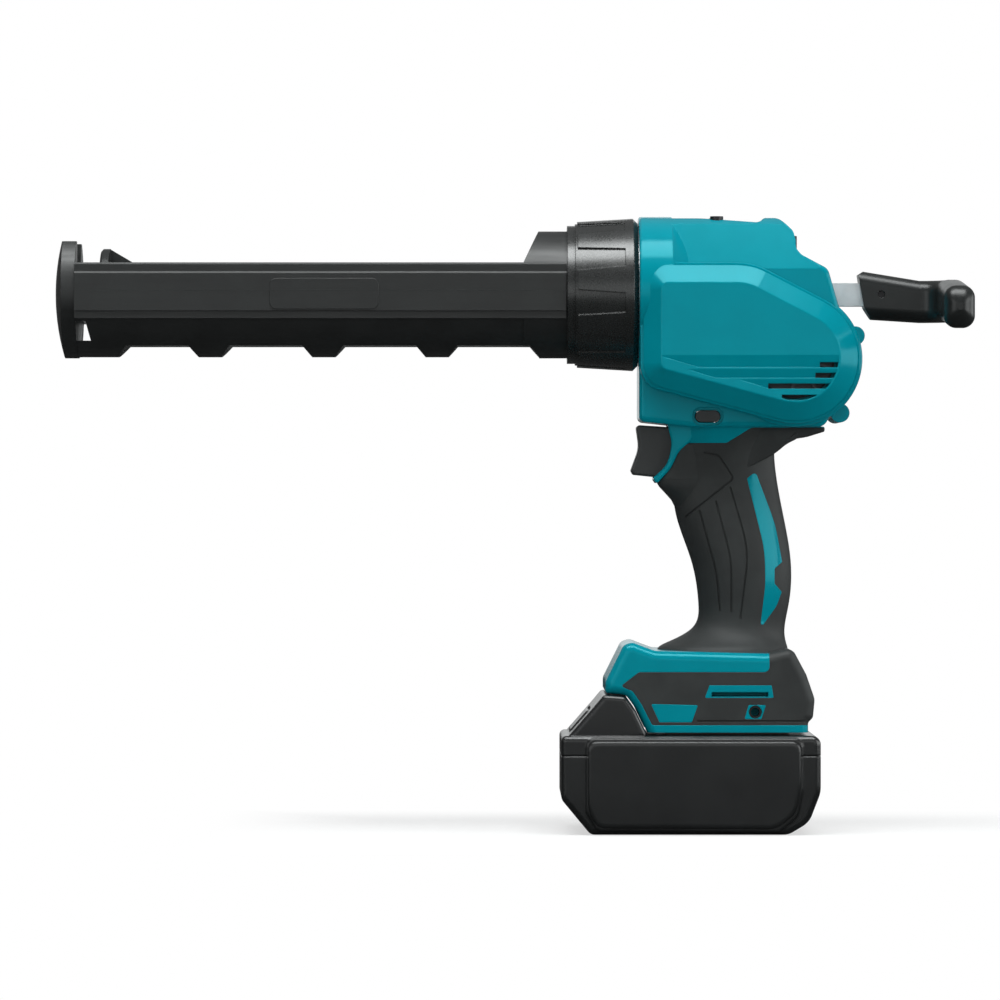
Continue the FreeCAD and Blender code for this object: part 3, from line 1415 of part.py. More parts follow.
insert_far = d.foot_half_width - d.slide_gap
insert_near = insert_far - d.hook_insert_length
insert_tube = drum(d.hook_insert_radius, *hook_hole, insert_near, insert_far)
insert_tube = insert_tube.cut(drum(d.hook_hole_radius, *hook_hole, insert_near - 1, insert_far + 1))
solid_piece("hook_inserts", Part.makeCompound(
    [insert_tube, insert_tube.mirror(Vector(0, 0, 0), Vector(0, 1, 0))]))
insert_holes = on_both_sides(insert_near - d.seat_gap, OUTSIDE,
                             lambda near, far: drum(d.hook_insert_radius + d.seat_gap, *hook_hole, near, far))

# Screws: the housing screws enter from the far side, two more sit on top of the nose


def screw(start, way, length):
    """Pan head screw with a socket: start is where the head seats, way points to the head."""
    seat = Vector(*start)
    head_top = seat + way * d.screw_head_height
    shank = Part.makeCylinder(d.screw_radius, length + 1, seat - way * length, way)
    head = Part.makeCylinder(d.screw_head_radius, d.screw_head_height, seat, way)
    socket_depth = d.screw_head_height / 2
    socket = Part.makeCylinder(d.screw_socket_radius, socket_depth, head_top - way * socket_depth, way)
    return joined(shank, head).cut(socket)


def screw_hole(start, way, length):
    """Hole for a screw, open to the outside over its head."""
    seat = Vector(*start)
    hole = Part.makeCylinder(d.screw_radius + d.seat_gap, length + 1, seat - way * (length + d.seat_gap), way)
    mouth = Part.makeCylinder(d.screw_head_radius + d.slide_gap, OUTSIDE, seat - way * d.seat_gap, way)
    return [hole, mouth]


FAR_WAY = Vector(0, 1, 0)
UP = Vector(0, 0, 1)
housing_seats = [
    (*lugs[0], 12.0), (*lugs[1], 12.0), (36.6, AXIS + 30.0, 11.0), (-17.0, AXIS - 50.0, 12.0),
    (31.5, AXIS - 78.5, 6.5), (24.0, d.foot_top + 36.0, 9.0), (26.0, d.foot_top + 15.0, 9.0),
    (-27.0, d.foot_top - 7.0, 20.0), (44.0, d.foot_top - 16.0, 20.0)]
housing_screws = []
screw_holes = []
for x, z, seat in housing_seats:
    housing_screws.append(screw((x, seat, z), FAR_WAY, seat + d.screw_depth))
    screw_holes += screw_hole((x, seat, z), FAR_WAY, seat + d.screw_depth)
solid_piece("housing_screws", Part.makeCompound(housing_screws))

nose_seat = AXIS + d.core_top - d.nose_screw_sink
nose_screws = []
nose_holes = []
for y in (-d.nose_screw_y, d.nose_screw_y):
    nose_screws.append(screw((d.nose_screw_x, y, nose_seat), UP, d.nose_screw_length))
    nose_holes += screw_hole((d.nose_screw_x, y, nose_seat), UP, d.nose_screw_length)
solid_piece("nose_screws", Part.makeCompound(nose_screws))

# Hollows of the housing, one for each piece that it holds

gap = d.seat_gap
trigger_slot = slab(-OUTSIDE, switch_front + OUTSIDE, 2 * (d.trigger_half_width + d.slide_gap),
                    AXIS - d.trigger_slot_top - d.trigger_slot_height, d.trigger_slot_height)


def gear_bay(module, teeth, centre, near, far):
    return drum(module * teeth / 2 + d.gear_room, *centre, near, far)


hollows = [
    barrel(d.sleeve_neck_radius + gap, d.nose_x - 1, sleeve_flange_x),
    barrel(d.sleeve_radius + gap, sleeve_flange_x - gap, sleeve_back + gap),
    slab(*rod_way, clearance=gap),
    slab(*rear_bush_box, clearance=gap),
    slab(*wear_plate_box, clearance=gap),
    drum(d.output_bush_radius + gap, *output, -bush_far - 2 * gap, gap - bush_near),
    drum(d.output_bush_radius + gap, *output, bush_near - gap, bush_far + 2 * gap),
    gear_bay(d.rack_module, d.output_teeth, output, -bush_near, bush_near),
    gear_bay(d.final_module, d.final_wheel_teeth, output, bush_far + gap, second_near),
    gear_bay(d.first_module, d.first_wheel_teeth, first, first_near - d.slide_gap,
             first_near + d.gear_width + d.slide_gap),
    gear_bay(d.second_module, d.first_pinion_teeth, first, second_near - d.slide_gap, first_near),
    gear_bay(d.second_module, d.second_wheel_teeth, second, second_near - d.slide_gap,
             second_near + d.gear_width + d.slide_gap),
    gear_bay(d.final_module, d.second_pinion_teeth, second, final_near - d.slide_gap, second_near),
    gear_bay(d.first_module, d.motor_pinion_teeth, motor, first_near - d.motor_wall,
             pinion_far + d.slide_gap),
    drum(d.motor_radius + gap, *motor, cap_rear_y, d.motor_front_y + gap),
    drum(boss_radius + gap, *motor, d.motor_front_y, d.motor_front_y + d.motor_wall + gap),
    drum(2 * d.motor_shaft_radius, *motor, d.motor_front_y, first_near),
    drum(d.vent_radius, *motor, fan_near - d.fan_room, cap_rear_y + gap),
    slab(*switch_box, clearance=gap),
    oval(d.slide_gap, -OUTSIDE, OUTSIDE),
    *on_both_sides(d.neck_half_width - d.button_recess, OUTSIDE,
                   lambda near, far: oval(d.button_margin, near, far)),
    post(d.dial_radius + d.dial_room, d.dial_x, 0, dial_bottom - d.slide_gap, dial_top + d.slide_gap),
    slab(*dial_board_box[:4], dial_bottom - dial_board_low, clearance=gap),
    slab(*board_box[:4], d.board_thickness + d.board_parts, clearance=gap),
    slab(-OUTSIDE, d.rail_rear_x + OUTSIDE, 2 * d.rail_neck_half_width, 0, rail_lip_top,
         clearance=d.slide_gap),
    slab(-OUTSIDE, d.rail_rear_x + OUTSIDE, 2 * d.rail_lip_half_width, d.rail_lip_bottom, d.rail_lip_height,
         clearance=d.slide_gap),
    slab(*terminal_box[:3], rail_lip_top, terminal_low + d.terminal_height - rail_lip_top, clearance=gap),
    *on_both_sides(d.foot_half_width - d.hook_slot_depth, OUTSIDE, lambda near, far: block(
        d.hook_slot_x, slot_rear, near, far, slot_low, slot_low + d.hook_slot_height)),
    trigger_slot, dial_pin_hole, *insert_holes, *screw_holes, *nose_holes]
for centre, near, far in gear_pins:
    hollows.append(drum(d.gear_pin_radius + gap, *centre, near - gap, far + gap))

# Slanted louvres on the near bulge, with vents to the fan at their feet

vent_round = drum(d.vent_radius, *motor, -OUTSIDE, fan_near)
louvre_field = vent_round.fuse(
    block(-OUTSIDE, motor[0], -OUTSIDE, fan_near, motor[1] - d.vent_radius, motor[1] + d.vent_radius))
face = -d.bulge_half_width


def louvre(left, high, low):
    """Recess that slopes in from nothing at its top to a ledge at its foot, and runs to a point."""
    sections = []
    for x, share in ((left, 0.1), (left + 3 * (high - low), 1.0), (motor[0] + d.vent_radius, 1.0)):
        sill = high + share * (low - high)
        deep = face + share * d.louvre_depth
        sections.append(Part.makePolygon([
            Vector(x, face - 1, high), Vector(x, face, high), Vector(x, deep, sill),
            Vector(x, face - 1, sill), Vector(x, face - 1, high)]))
    return Part.makeLoft(sections, True, True).common(louvre_field)


def vent(left, low):
    opening = block(left, motor[0] + d.vent_radius, -OUTSIDE, fan_near, low, low + d.vent_height)
    return opening.common(vent_round)


LOUVRES = ((-14.4, 57.0, -28.5, -34.0), (-1.9, 55.0, -34.8, -38.8), (21.5, 33.8, -39.4, -43.6))
for left, vent_left, high, low in LOUVRES:
    hollows.append(louvre(left, AXIS + high, AXIS + low))
    hollows.append(vent(vent_left, AXIS + low))
hollows.append(vent(39.9, AXIS - 48.7))

# Two housing halves and the two halves of the soft grip

housing = housing_blank.cut(hollows)
soft_grip = soft_grip.cut([trigger_slot, *insert_holes, *screw_holes])
near_side = block(-REACH, REACH, -REACH, 0, -REACH, REACH)
far_side = block(-REACH, REACH, 0, REACH, -REACH, REACH)
for name, side in (("left", near_side), ("right", far_side)):
    solid_piece(f"housing_{name}", housing.common(side))
    solid_piece(f"grip_{name}", soft_grip.common(side))

# Battery: lower case, upper case with hump and rail, release button, cells, board and contacts

front = d.battery_front_x
rear = d.battery_rear_x
top = d.battery_top
case = prism([
    (front, top, 2.5), (front, 16, 5), (front + 13.3, 0, 4), (rear - 14.5, 0, 8), (rear - 5.2, 5.6, 10),
    (rear, 19, 14), (rear, top, 4)], -d.battery_half_width, d.battery_half_width)
case = soften(case, 2.5, on_sides(d.battery_half_width))
label_half = d.battery_half_width + d.label_field_rise
label_front = front + 11.1
label_rear = rear - 8.1
label_field = prism([
    (label_front, top - 1, d.label_field_round), (label_front, 10.4, d.label_field_round),
    (label_front + 4.8, 1.8, d.label_field_round), (label_rear - 11, 1.2, 3), (label_rear - 2.4, 8, 8),
    (label_rear, 19.5, 14), (label_rear, top - 1, d.label_field_round)], -label_half, label_half)
label_field = soften(label_field, 0.9, on_sides(label_half))
hump_top = d.foot_bottom + 17.0
slope_end = front + 15.1
hump = prism([
    (front + 0.6, top - 3.2), (slope_end, hump_top - 5, 3), (slope_end + 4.2, hump_top, 2),
    (-30.3, hump_top - 0.65, 4), (-25.8, d.foot_bottom + 10.15, 6), (-19.75, top - 1)],
    -d.hump_half_width, d.hump_half_width)
hump = soften(hump, 2.0, on_sides(d.hump_half_width))
rail_length = d.rail_rear_x - d.rail_front_x
rail_neck = slab(d.rail_front_x, rail_length, 2 * d.rail_neck_half_width, top - 2, rail_lip_top - top + 2)
rail_lip = slab(d.rail_front_x, rail_length, 2 * d.rail_lip_half_width, d.rail_lip_bottom, d.rail_lip_height)
battery = case
for form in (label_field, hump, rail_neck, rail_lip):
    battery = battery.fuse(form)

cell_pitch = 2 * d.cell_radius + d.seat_gap
row_low = d.battery_wall + d.cell_radius + d.seat_gap
pack_board_low = row_low + cell_pitch + d.cell_radius + d.slide_gap
pack_board_top = pack_board_low + d.board_thickness
row_half = d.cells_per_row * cell_pitch / 2
cell_half = d.cell_length / 2
room = row_half + d.battery_margin
inside = prism([
    (-room, pack_board_top + gap, 2), (-room, 9, 2), (7 - room, d.battery_wall, 2),
    (room - 7, d.battery_wall, 2), (room, 12, 2), (room, pack_board_top + gap, 2)],
    -cell_half - gap, cell_half + gap)

button_front = front + d.release_setback
button_rear = button_front + d.release_length
slope = (hump_top - 5 - (top - 3.2)) / (slope_end - front - 0.6)
slope_low = top - 3.2 + slope * (button_front - front - 0.6)
slope_high = slope_low + slope * d.release_length
release_low = slope_low - 2.0
release_half = d.release_width / 2
solid_piece("battery_button", prism([
    (button_front, release_low), (button_front, slope_low + 1, 1), (button_rear, slope_high + 1, 1),
    (button_rear, release_low + 3)], -release_half, release_half))
release_bay = slab(button_front, d.release_length, d.release_width, release_low - d.release_travel, OUTSIDE,
                   clearance=d.slide_gap)

blade_slots = []
contacts = []
slot_width = d.blade_thickness + 4 * d.slide_gap
slot_floor = blade_bottom - d.contact_height - 2 * d.slide_gap
slot_box = (blade_x - 10 * d.slide_gap, OUTSIDE, slot_width, slot_floor, OUTSIDE)
contact_box = (blade_x, d.blade_length, slot_width - 2 * gap, slot_floor + gap, d.contact_height - gap)
for middle in (-d.terminal_y, d.terminal_y):
    shift = Vector(0, middle, 0)
    blade_slots.append(slab(*slot_box).translated(shift))
    contacts.append(slab(*contact_box).translated(shift))
battery = battery.cut([inside, release_bay, *blade_slots])
seam = d.battery_seam
solid_piece("battery_lower", battery.common(block(-REACH, REACH, -REACH, REACH, -REACH, seam)))
solid_piece("battery_upper", battery.common(block(-REACH, REACH, -REACH, REACH, seam + d.slide_gap, REACH)))
cells = []
for row in range(2):
    for number in range(int(d.cells_per_row)):
        x = (number + 0.5) * cell_pitch - row_half
        cells.append(drum(d.cell_radius, x, row_low + row * cell_pitch, -cell_half, cell_half))
solid_piece("battery_cells", Part.makeCompound(cells))
pack_board_box = (-row_half, 2 * row_half, d.cell_length - 4, pack_board_low, d.board_thickness)
solid_piece("battery_board", slab(*pack_board_box))
solid_piece("battery_contacts", Part.makeCompound(contacts))

doc.recompute()
for item in doc.Objects:
    if "Invalid" in item.State or "Error" in item.State:
        raise RuntimeError(f"{item.Label} did not build")
for piece in pieces:
    if piece.Shape.isNull() or not piece.Shape.isValid():
        raise RuntimeError(f"{piece.Label} has no sound shape")

os.makedirs("parts", exist_ok=True)
for piece in pieces:
    piece.Shape.exportStep(f"parts/{piece.Label}.step")
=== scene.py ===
import json
import math

import bmesh
import bpy
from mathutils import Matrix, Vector


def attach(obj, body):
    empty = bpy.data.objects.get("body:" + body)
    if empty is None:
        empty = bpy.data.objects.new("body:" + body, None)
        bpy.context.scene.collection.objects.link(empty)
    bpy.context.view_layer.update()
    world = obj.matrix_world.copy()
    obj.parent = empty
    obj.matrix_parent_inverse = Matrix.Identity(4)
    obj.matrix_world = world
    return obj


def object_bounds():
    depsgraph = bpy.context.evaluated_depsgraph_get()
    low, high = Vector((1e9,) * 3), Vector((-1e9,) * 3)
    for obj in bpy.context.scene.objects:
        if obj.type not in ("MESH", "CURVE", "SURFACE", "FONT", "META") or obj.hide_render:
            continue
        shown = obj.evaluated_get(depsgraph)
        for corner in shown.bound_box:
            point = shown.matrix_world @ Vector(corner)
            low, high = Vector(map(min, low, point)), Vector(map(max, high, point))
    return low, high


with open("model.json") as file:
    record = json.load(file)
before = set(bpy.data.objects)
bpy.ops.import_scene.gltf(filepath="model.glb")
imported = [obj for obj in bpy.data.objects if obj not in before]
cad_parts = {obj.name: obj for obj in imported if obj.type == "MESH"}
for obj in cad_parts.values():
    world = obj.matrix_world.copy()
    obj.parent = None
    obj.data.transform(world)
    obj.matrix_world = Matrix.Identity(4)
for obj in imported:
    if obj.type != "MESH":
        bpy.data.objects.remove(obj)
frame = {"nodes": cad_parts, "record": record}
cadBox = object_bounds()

nodes = frame["nodes"]
slotOf = {part["node"]: part["material_slot"] for part in frame["record"]["subparts"]}
mm = 0.001


class Wire:                                   # a socket that does sums
    def __init__(self, tree, socket=None):
        self.tree = tree
        self.socket = socket

    def add(self, kind, settings=None, inputs=None, out=0):
        node = self.tree.nodes.new(kind)
        for name, value in (settings or {}).items():
            setattr(node, name, value)
        for name, value in (inputs or {}).items():
            if isinstance(value, Wire):
                self.tree.links.new(value.socket, node.inputs[name])
            else:
                node.inputs[name].default_value = value
        return Wire(self.tree, node.outputs[out]) if node.outputs else node

    def sum(self, operation, first, second=0.0):
        return self.add("ShaderNodeMath", {"operation": operation}, {0: first, 1: second})

    def __add__(self, other):
        return self.sum("ADD", self, other)

    def __radd__(self, other):
        return self.sum("ADD", other, self)

    def __sub__(self, other):
        return self.sum("SUBTRACT", self, other)

    def __rsub__(self, other):
        return self.sum("SUBTRACT", other, self)

    def __mul__(self, other):
        return self.sum("MULTIPLY", self, other)

    def __rmul__(self, other):
        return self.sum("MULTIPLY", other, self)

    def __truediv__(self, other):
        return self.sum("DIVIDE", self, other)

    def __rtruediv__(self, other):
        return self.sum("DIVIDE", other, self)

    def __abs__(self):
        return self.sum("ABSOLUTE", self)

    def below(self, edge, soft):              # 1 under the edge, fading to 0 over soft
        return self.add("ShaderNodeMapRange", {"interpolation_type": "SMOOTHSTEP"}, {
            "Value": self, "From Min": edge, "From Max": edge + soft, "To Min": 1.0, "To Max": 0.0})


noiseMean = 0.5
noiseKinds = {"cloud": (3.0, 0.5), "grain": (2.0, 0.6), "pebble": (1.0, 0.4),      # detail and roughness
              "streak": (2.0, 0.5), "brush": (3.0, 0.6), "stain": (3.0, 0.5)}
colourMix = {"factor": 0, "first": 6, "second": 7, "result": 2}      # sockets of a Mix node set to colour
edgeSamples = 4                               # rays of the Bevel node


def noise(start, kind, scale, stretch=None):
    detail, rough = noiseKinds[kind]
    point = start.add("ShaderNodeTexCoord", out="Object")
    if stretch:
        point = start.add("ShaderNodeVectorMath", {"operation": "MULTIPLY"}, {0: point, 1: stretch})
    return start.add("ShaderNodeTexNoise", {}, {
        "Vector": point, "Scale": scale, "Detail": detail, "Roughness": rough})


def place(start):                             # x, y and z of the surface, metres
    split = start.add("ShaderNodeSeparateXYZ", {}, {"Vector": start.add("ShaderNodeTexCoord", out="Object")})
    outputs = split.socket.node.outputs
    return [Wire(start.tree, outputs[index]) for index in range(3)]


def blend(start, share, low, high):
    sockets = {colourMix["factor"]: share, colourMix["first"]: low, colourMix["second"]: high}
    return start.add("ShaderNodeMix", {"data_type": "RGBA"}, sockets, colourMix["result"])


def mixed(start, share, first, second):       # one shader fading into another
    return start.add("ShaderNodeMixShader", {}, {0: share, 1: first, 2: second})


def shade(colour, times):
    return tuple(channel * times for channel in colour[:3]) + (1.0,)


def newFinish(name):
    material = bpy.data.materials.new(name)
    material.use_nodes = True
    material.node_tree.nodes.clear()
    return material, Wire(material.node_tree)


def close(start, sockets, look, height):
    bump = {"Strength": look["bump"], "Distance": look["depth"], "Height": height}
    if look["edge"]:                          # soft edges on the moulding
        bump["Normal"] = start.add("ShaderNodeBevel", {"samples": edgeSamples}, {"Radius": look["edge"]})
    normal = start.add("ShaderNodeBump", {}, bump)
    shader = start.add("ShaderNodeBsdfPrincipled", {}, {**sockets, "Normal": normal})
    start.add("ShaderNodeOutputMaterial", {}, {"Surface": shader})


def moulded(name, look):                      # plastics and rubbers
    material, start = newFinish(name)
    cloud = noise(start, "cloud", look["cloudScale"])
    grain = noise(start, "grain", look["grainScale"])
    colour = blend(start, cloud.below(look["cloudFrom"], look["cloudOver"]),
                   shade(look["colour"], 1 + look["vary"]), shade(look["colour"], 1 - look["vary"]))
    rough = look["rough"] + (cloud - noiseMean) * look["roughVary"] + (grain - noiseMean) * look["roughGrain"]
    height = grain
    if "hide" in look:                        # pebbled skin over the fine grain
        pebble = noise(start, "pebble", look["hideScale"])
        height = height + pebble * look["hide"]
        rough = rough + (pebble - noiseMean) * look["hideRough"]
    if "flow" in look:                        # faint streaks along the moulding
        streak = noise(start, "streak", look["flowScale"], look["flow"])
        rough = rough + (streak - noiseMean) * look["flowRough"]
    for axis, level in look["seams"]:         # mould lines
        line = abs(place(start)[axis] - level).below(look["seam"] / 2, look["seam"] / 2)
        height = height + line * look["seamRise"]
        colour = blend(start, line * look["seamTint"], colour, shade(look["colour"], look["seamShade"]))
    sockets = {"Base Color": colour, "Roughness": rough, "Specular IOR Level": look["specular"],
               "Specular Tint": look["gloss"], "Coat Weight": look["coat"], "Coat Roughness": look["coatRough"]}
    close(start, sockets, look, height)
    return material


def metal(name, look):
    material, start = newFinish(name)
    brush = noise(start, "brush", look["brushScale"], look["stretch"])
    stain = noise(start, "stain", look["stainScale"])
    colour = blend(start, stain.below(look["stainFrom"], look["stainOver"]), look["colour"],
                   shade(look["colour"], 1 - look["vary"]))
    rough = look["rough"] + (brush - noiseMean) * look["roughVary"] + (stain - noiseMean) * look["stainRough"]
    close(start, {"Base Color": colour, "Roughness": rough, "Metallic": look["metallic"]}, look, brush)
    return material


holderParting = 245.5 * mm                    # height of the holder's mould line
plastic = {"cloudScale": 60.0, "cloudFrom": 0.38, "cloudOver": 0.24, "grainScale": 2600.0, "vary": 0.05,
           "rough": 0.42, "roughVary": 0.1, "roughGrain": 0.08, "specular": 0.5, "gloss": (1, 1, 1, 1),
           "coat": 0.0, "coatRough": 0.18, "bump": 0.25, "depth": 0.03 * mm, "edge": 0.3 * mm,
           "seams": [], "seam": 0.14 * mm, "seamRise": -6.0, "seamTint": 0.6, "seamShade": 0.4}
tealPlastic = {**plastic, "colour": (0.0, 0.243, 0.308, 1), "vary": 0.02, "rough": 0.15, "roughVary": 0.04,
               "roughGrain": 0.04, "bump": 0.1, "specular": 0.4, "gloss": (0.22, 0.92, 1.0, 1),
               "edge": 0.5 * mm, "seams": [(1, 0.0)]}
blackPlastic = {**plastic, "colour": (0.0098, 0.0115, 0.0115, 1), "vary": 0.12, "rough": 0.38, "bump": 0.3}
holderPlastic = {**blackPlastic, "rough": 0.46, "specular": 0.7, "flow": (4.0, 60.0, 60.0), "flowScale": 7.0,
                 "flowRough": 0.34, "seams": [(2, holderParting)], "seamRise": 3.0, "seamTint": 0.0}
ringPlastic = {**blackPlastic, "rough": 0.28, "specular": 1.0, "edge": 0.6 * mm, "hide": 0.9, "hideScale": 900.0,
               "hideRough": 0.12}
dippedVinyl = {**blackPlastic, "rough": 0.32, "bump": 0.2, "hide": 1.2, "hideScale": 260.0, "hideRough": 0.1,
               "edge": 0.6 * mm}
controlPlastic = {**plastic, "colour": (0.036, 0.039, 0.0395, 1), "vary": 0.1, "rough": 0.4}
batteryPlastic = {**plastic, "colour": (0.0075, 0.0085, 0.0088, 1), "vary": 0.1, "specular": 0.8, "rough": 0.19,
                  "roughVary": 0.05, "roughGrain": 0.04, "bump": 0.1, "edge": 1.2 * mm}
softRubber = {**plastic, "colour": (0.031, 0.034, 0.034, 1), "vary": 0.1, "rough": 0.56, "roughVary": 0.12,
              "grainScale": 1500.0, "specular": 0.35, "bump": 0.4, "depth": 0.05 * mm}
greyPlastic = {**plastic, "colour": (0.1, 0.1, 0.108, 1)}
paleNylon = {**plastic, "colour": (0.66, 0.65, 0.6, 1), "rough": 0.45}
magnetBlock = {**plastic, "colour": (0.05, 0.05, 0.054, 1), "rough": 0.6, "bump": 0.5}
boardLacquer = {**plastic, "colour": (0.012, 0.11, 0.04, 1), "rough": 0.3, "coat": 0.4}
cellWrap = {**plastic, "colour": (0.03, 0.2, 0.1, 1), "rough": 0.25, "coat": 0.3, "bump": 0.1}

steel = {"brushScale": 40.0, "stretch": (1.0, 40.0, 40.0), "stainScale": 90.0, "stainFrom": 0.36,
         "stainOver": 0.3, "stainRough": 0.08, "vary": 0.12, "rough": 0.3, "roughVary": 0.2, "bump": 0.2,
         "depth": 0.02 * mm, "edge": 0.0, "metallic": 1.0}
rodSteel = {**steel, "colour": (0.8, 0.82, 0.84, 1), "rough": 0.4, "metallic": 0.5}
plainSteel = {**steel, "colour": (0.5, 0.5, 0.51, 1), "stretch": (30.0, 1.0, 30.0)}
screwSteel = {**steel, "colour": (0.06, 0.06, 0.062, 1), "rough": 0.42, "stretch": (8.0, 8.0, 8.0)}
castAluminium = {**steel, "colour": (0.6, 0.605, 0.62, 1), "rough": 0.42, "stretch": (8.0, 8.0, 8.0),
                 "bump": 0.3}
bearingBronze = {**steel, "colour": (0.5, 0.31, 0.12, 1), "rough": 0.45, "stretch": (12.0, 12.0, 12.0)}
contactBrass = {**steel, "colour": (0.72, 0.5, 0.2, 1), "rough": 0.25}

print("finishes")
finishes = {
    "teal_plastic": moulded("tealPlastic", tealPlastic),
    "black_plastic": moulded("blackPlastic", blackPlastic),
    "control_plastic": moulded("controlPlastic", controlPlastic),
    "battery_plastic": moulded("batteryPlastic", batteryPlastic),
    "soft_rubber": moulded("softRubber", softRubber),
    "grey_plastic": moulded("greyPlastic", greyPlastic),
    "pale_nylon": moulded("paleNylon", paleNylon),
    "magnet": moulded("magnetBlock", magnetBlock),
    "board": moulded("boardLacquer", boardLacquer),
    "cell_wrap": moulded("cellWrap", cellWrap),
    "rod_steel": metal("rodSteel", rodSteel),
    "plain_steel": metal("plainSteel", plainSteel),
    "screw_steel": metal("screwSteel", screwSteel),
    "sleeve_aluminium": metal("castAluminium", castAluminium),
    "bearing_bronze": metal("bearingBronze", bearingBronze),
    "contact_brass": metal("contactBrass", contactBrass),
}
ownFinish = {
    "cartridge_holder": moulded("holderPlastic", holderPlastic),
    "lock_ring": moulded("ringPlastic", ringPlastic),
    "rod_grip": moulded("dippedVinyl", dippedVinyl),
}
for name, node in nodes.items():
    node.data.materials.clear()
    node.data.materials.append(ownFinish.get(name) or finishes[slotOf[name]])

print("pieces")
sides = ((-1, "near"), (1, "far"))
sharpTurn = math.radians(35)                  # steeper edges stay sharp


def rounded(corners, steps=6):                # outline of (x, z, cut) in mm, each corner cut to a curve
    points = []
    for index, (x, z, cut) in enumerate(corners):
        here = Vector((x, z))
        before = Vector(corners[index - 1][:2]) - here
        after = Vector(corners[(index + 1) % len(corners)][:2]) - here
        first = here + before.normalized() * cut
        last = here + after.normalized() * cut
        for step in range(steps + 1):
            t = step / steps
            points.append(first * (1 - t) ** 2 + here * 2 * t * (1 - t) + last * t ** 2)
    return points


def drawnIn(points, by):                      # outline that runs counter-clockwise, moved inwards
    moved = []
    for index, point in enumerate(points):
        along = (points[(index + 1) % len(points)] - points[index - 1]).normalized()
        moved.append(point - Vector((along.y, -along.x)) * by)
    return moved


def roundedRim(rise, soft, steps=5):          # (inset, height) of a plate's rim
    turns = [step / steps * math.pi / 2 for step in range(steps + 1)]
    bend = [(soft * (1 - math.cos(turn)), rise - soft * (1 - math.sin(turn))) for turn in turns]
    return [(0.0, 0.0)] + bend + [(2 * soft, rise)]


def skinned(name, rings, slot, body, looped=False):
    count = len(rings[0])
    faces = []
    for level in range(len(rings) if looped else len(rings) - 1):
        here, there = level * count, (level + 1) % len(rings) * count
        for index in range(count):
            after = (index + 1) % count
            faces.append((here + index, here + after, there + after, there + index))
    if not looped:
        last = (len(rings) - 1) * count
        faces += [tuple(range(count)), tuple(range(last, last + count))]
    mesh = bpy.data.meshes.new(name)
    mesh.from_pydata([Vector(point) * mm for ring in rings for point in ring], [], faces)
    form = bmesh.new()
    form.from_mesh(mesh)
    bmesh.ops.recalc_face_normals(form, faces=form.faces)
    form.to_mesh(mesh)
    form.free()
    mesh.materials.append(finishes[slot])
    mesh.shade_smooth()
    mesh.set_sharp_from_angle(angle=sharpTurn)
    piece = bpy.data.objects.new(name, mesh)
    bpy.context.scene.collection.objects.link(piece)
    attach(piece, body)


label = {"base": 37.2, "rise": 1.2, "soft": 1.1,      # plain field on each side of the battery
         "corners": [(-43.0, 3.0, 4), (37.4, 2.6, 4), (46.4, 9.4, 4.5), (48.6, 20.0, 5),
                     (48.6, 42.2, 4.5), (-47.2, 42.2, 4.5), (-47.2, 10.6, 4)]}
edge = rounded(label["corners"])
for side, sideName in sides:
    rings = [[(point.x, side * (label["base"] + height), point.y) for point in drawnIn(edge, inset)]
             for inset, height in roundedRim(label["rise"], label["soft"])]
    skinned(f"{sideName}LabelField", rings, "battery_plastic", "battery")

rim = {"grow": 1.3, "inside": 3.0, "from": 26.4, "to": 32.4, "soft": 0.6, "bend": 0.3,      # step round the bulge
       "motor": Vector((46.2, 214.8)), "radius": 28.2, "steps": 28, "front": -22.2, "top": 256.7,
       "corner": 9.0, "shoulder": 8.0, "roundCorners": 3, "cornerSteps": 8,
       "topSlope": math.radians(27.5), "lowSlope": math.radians(15.0)}
rimRadius = rim["radius"] + rim["grow"]
rimFront = rim["front"] - rim["grow"]
rimTop = rim["top"] + rim["grow"]
turnTop = math.pi / 2 - rim["topSlope"]
turnLow = -math.pi / 2 - rim["lowSlope"]
arc = []
for step in range(rim["steps"] + 1):
    turn = turnLow + (turnTop - turnLow) * step / rim["steps"]
    arc.append(rim["motor"] + Vector((math.cos(turn), math.sin(turn))) * rimRadius)
shoulder = arc[-1].x - (rimTop - arc[-1].y) / math.tan(rim["topSlope"])
frontLow = arc[0].y + (arc[0].x - rimFront) * math.tan(rim["lowSlope"])
bends = rounded([(shoulder, rimTop, rim["shoulder"]), (rimFront, rimTop, rim["corner"]),
                 (rimFront, frontLow, rim["corner"]), (arc[0].x, arc[0].y, 0), (arc[-1].x, arc[-1].y, 0)],
                rim["cornerSteps"])
rimEdge = arc + bends[:rim["roundCorners"] * (rim["cornerSteps"] + 1)]      # the arc closes the outline
bend = rim["soft"] * rim["bend"]
section = [(rim["inside"], rim["from"]), (0.0, rim["from"]), (0.0, rim["to"] - rim["soft"]),
           (bend, rim["to"] - bend), (rim["soft"], rim["to"]), (rim["inside"], rim["to"])]
for side, sideName in sides:
    rings = [[(point.x, side * height, point.y) for point in drawnIn(rimEdge, inset)]
             for inset, height in section]
    skinned(f"{sideName}BulgeRim", rings, "teal_plastic", "housing", looped=True)

chin = {"centre": 8.0, "half": 12.2, "slot": 9.1, "blunt": 9.0, "steps": 14,      # skin round the trigger's rear
        "under": [(146.5, -6.4, 9.5, 2.5), (150.8, -8.6, 10.0, 3.0), (154.0, -11.4, 11.0, 4.0),
                  (156.6, -13.8, 11.7, 5.5), (158.4, -14.9, 12.1, 7.5), (160.7, -14.6, 12.2, 9.0)],
        "beside": [(160.2, -14.6), (163.0, -12.6), (165.2, -10.8), (169.0, -8.7), (173.0, -7.0),
                   (176.2, -4.4)]}


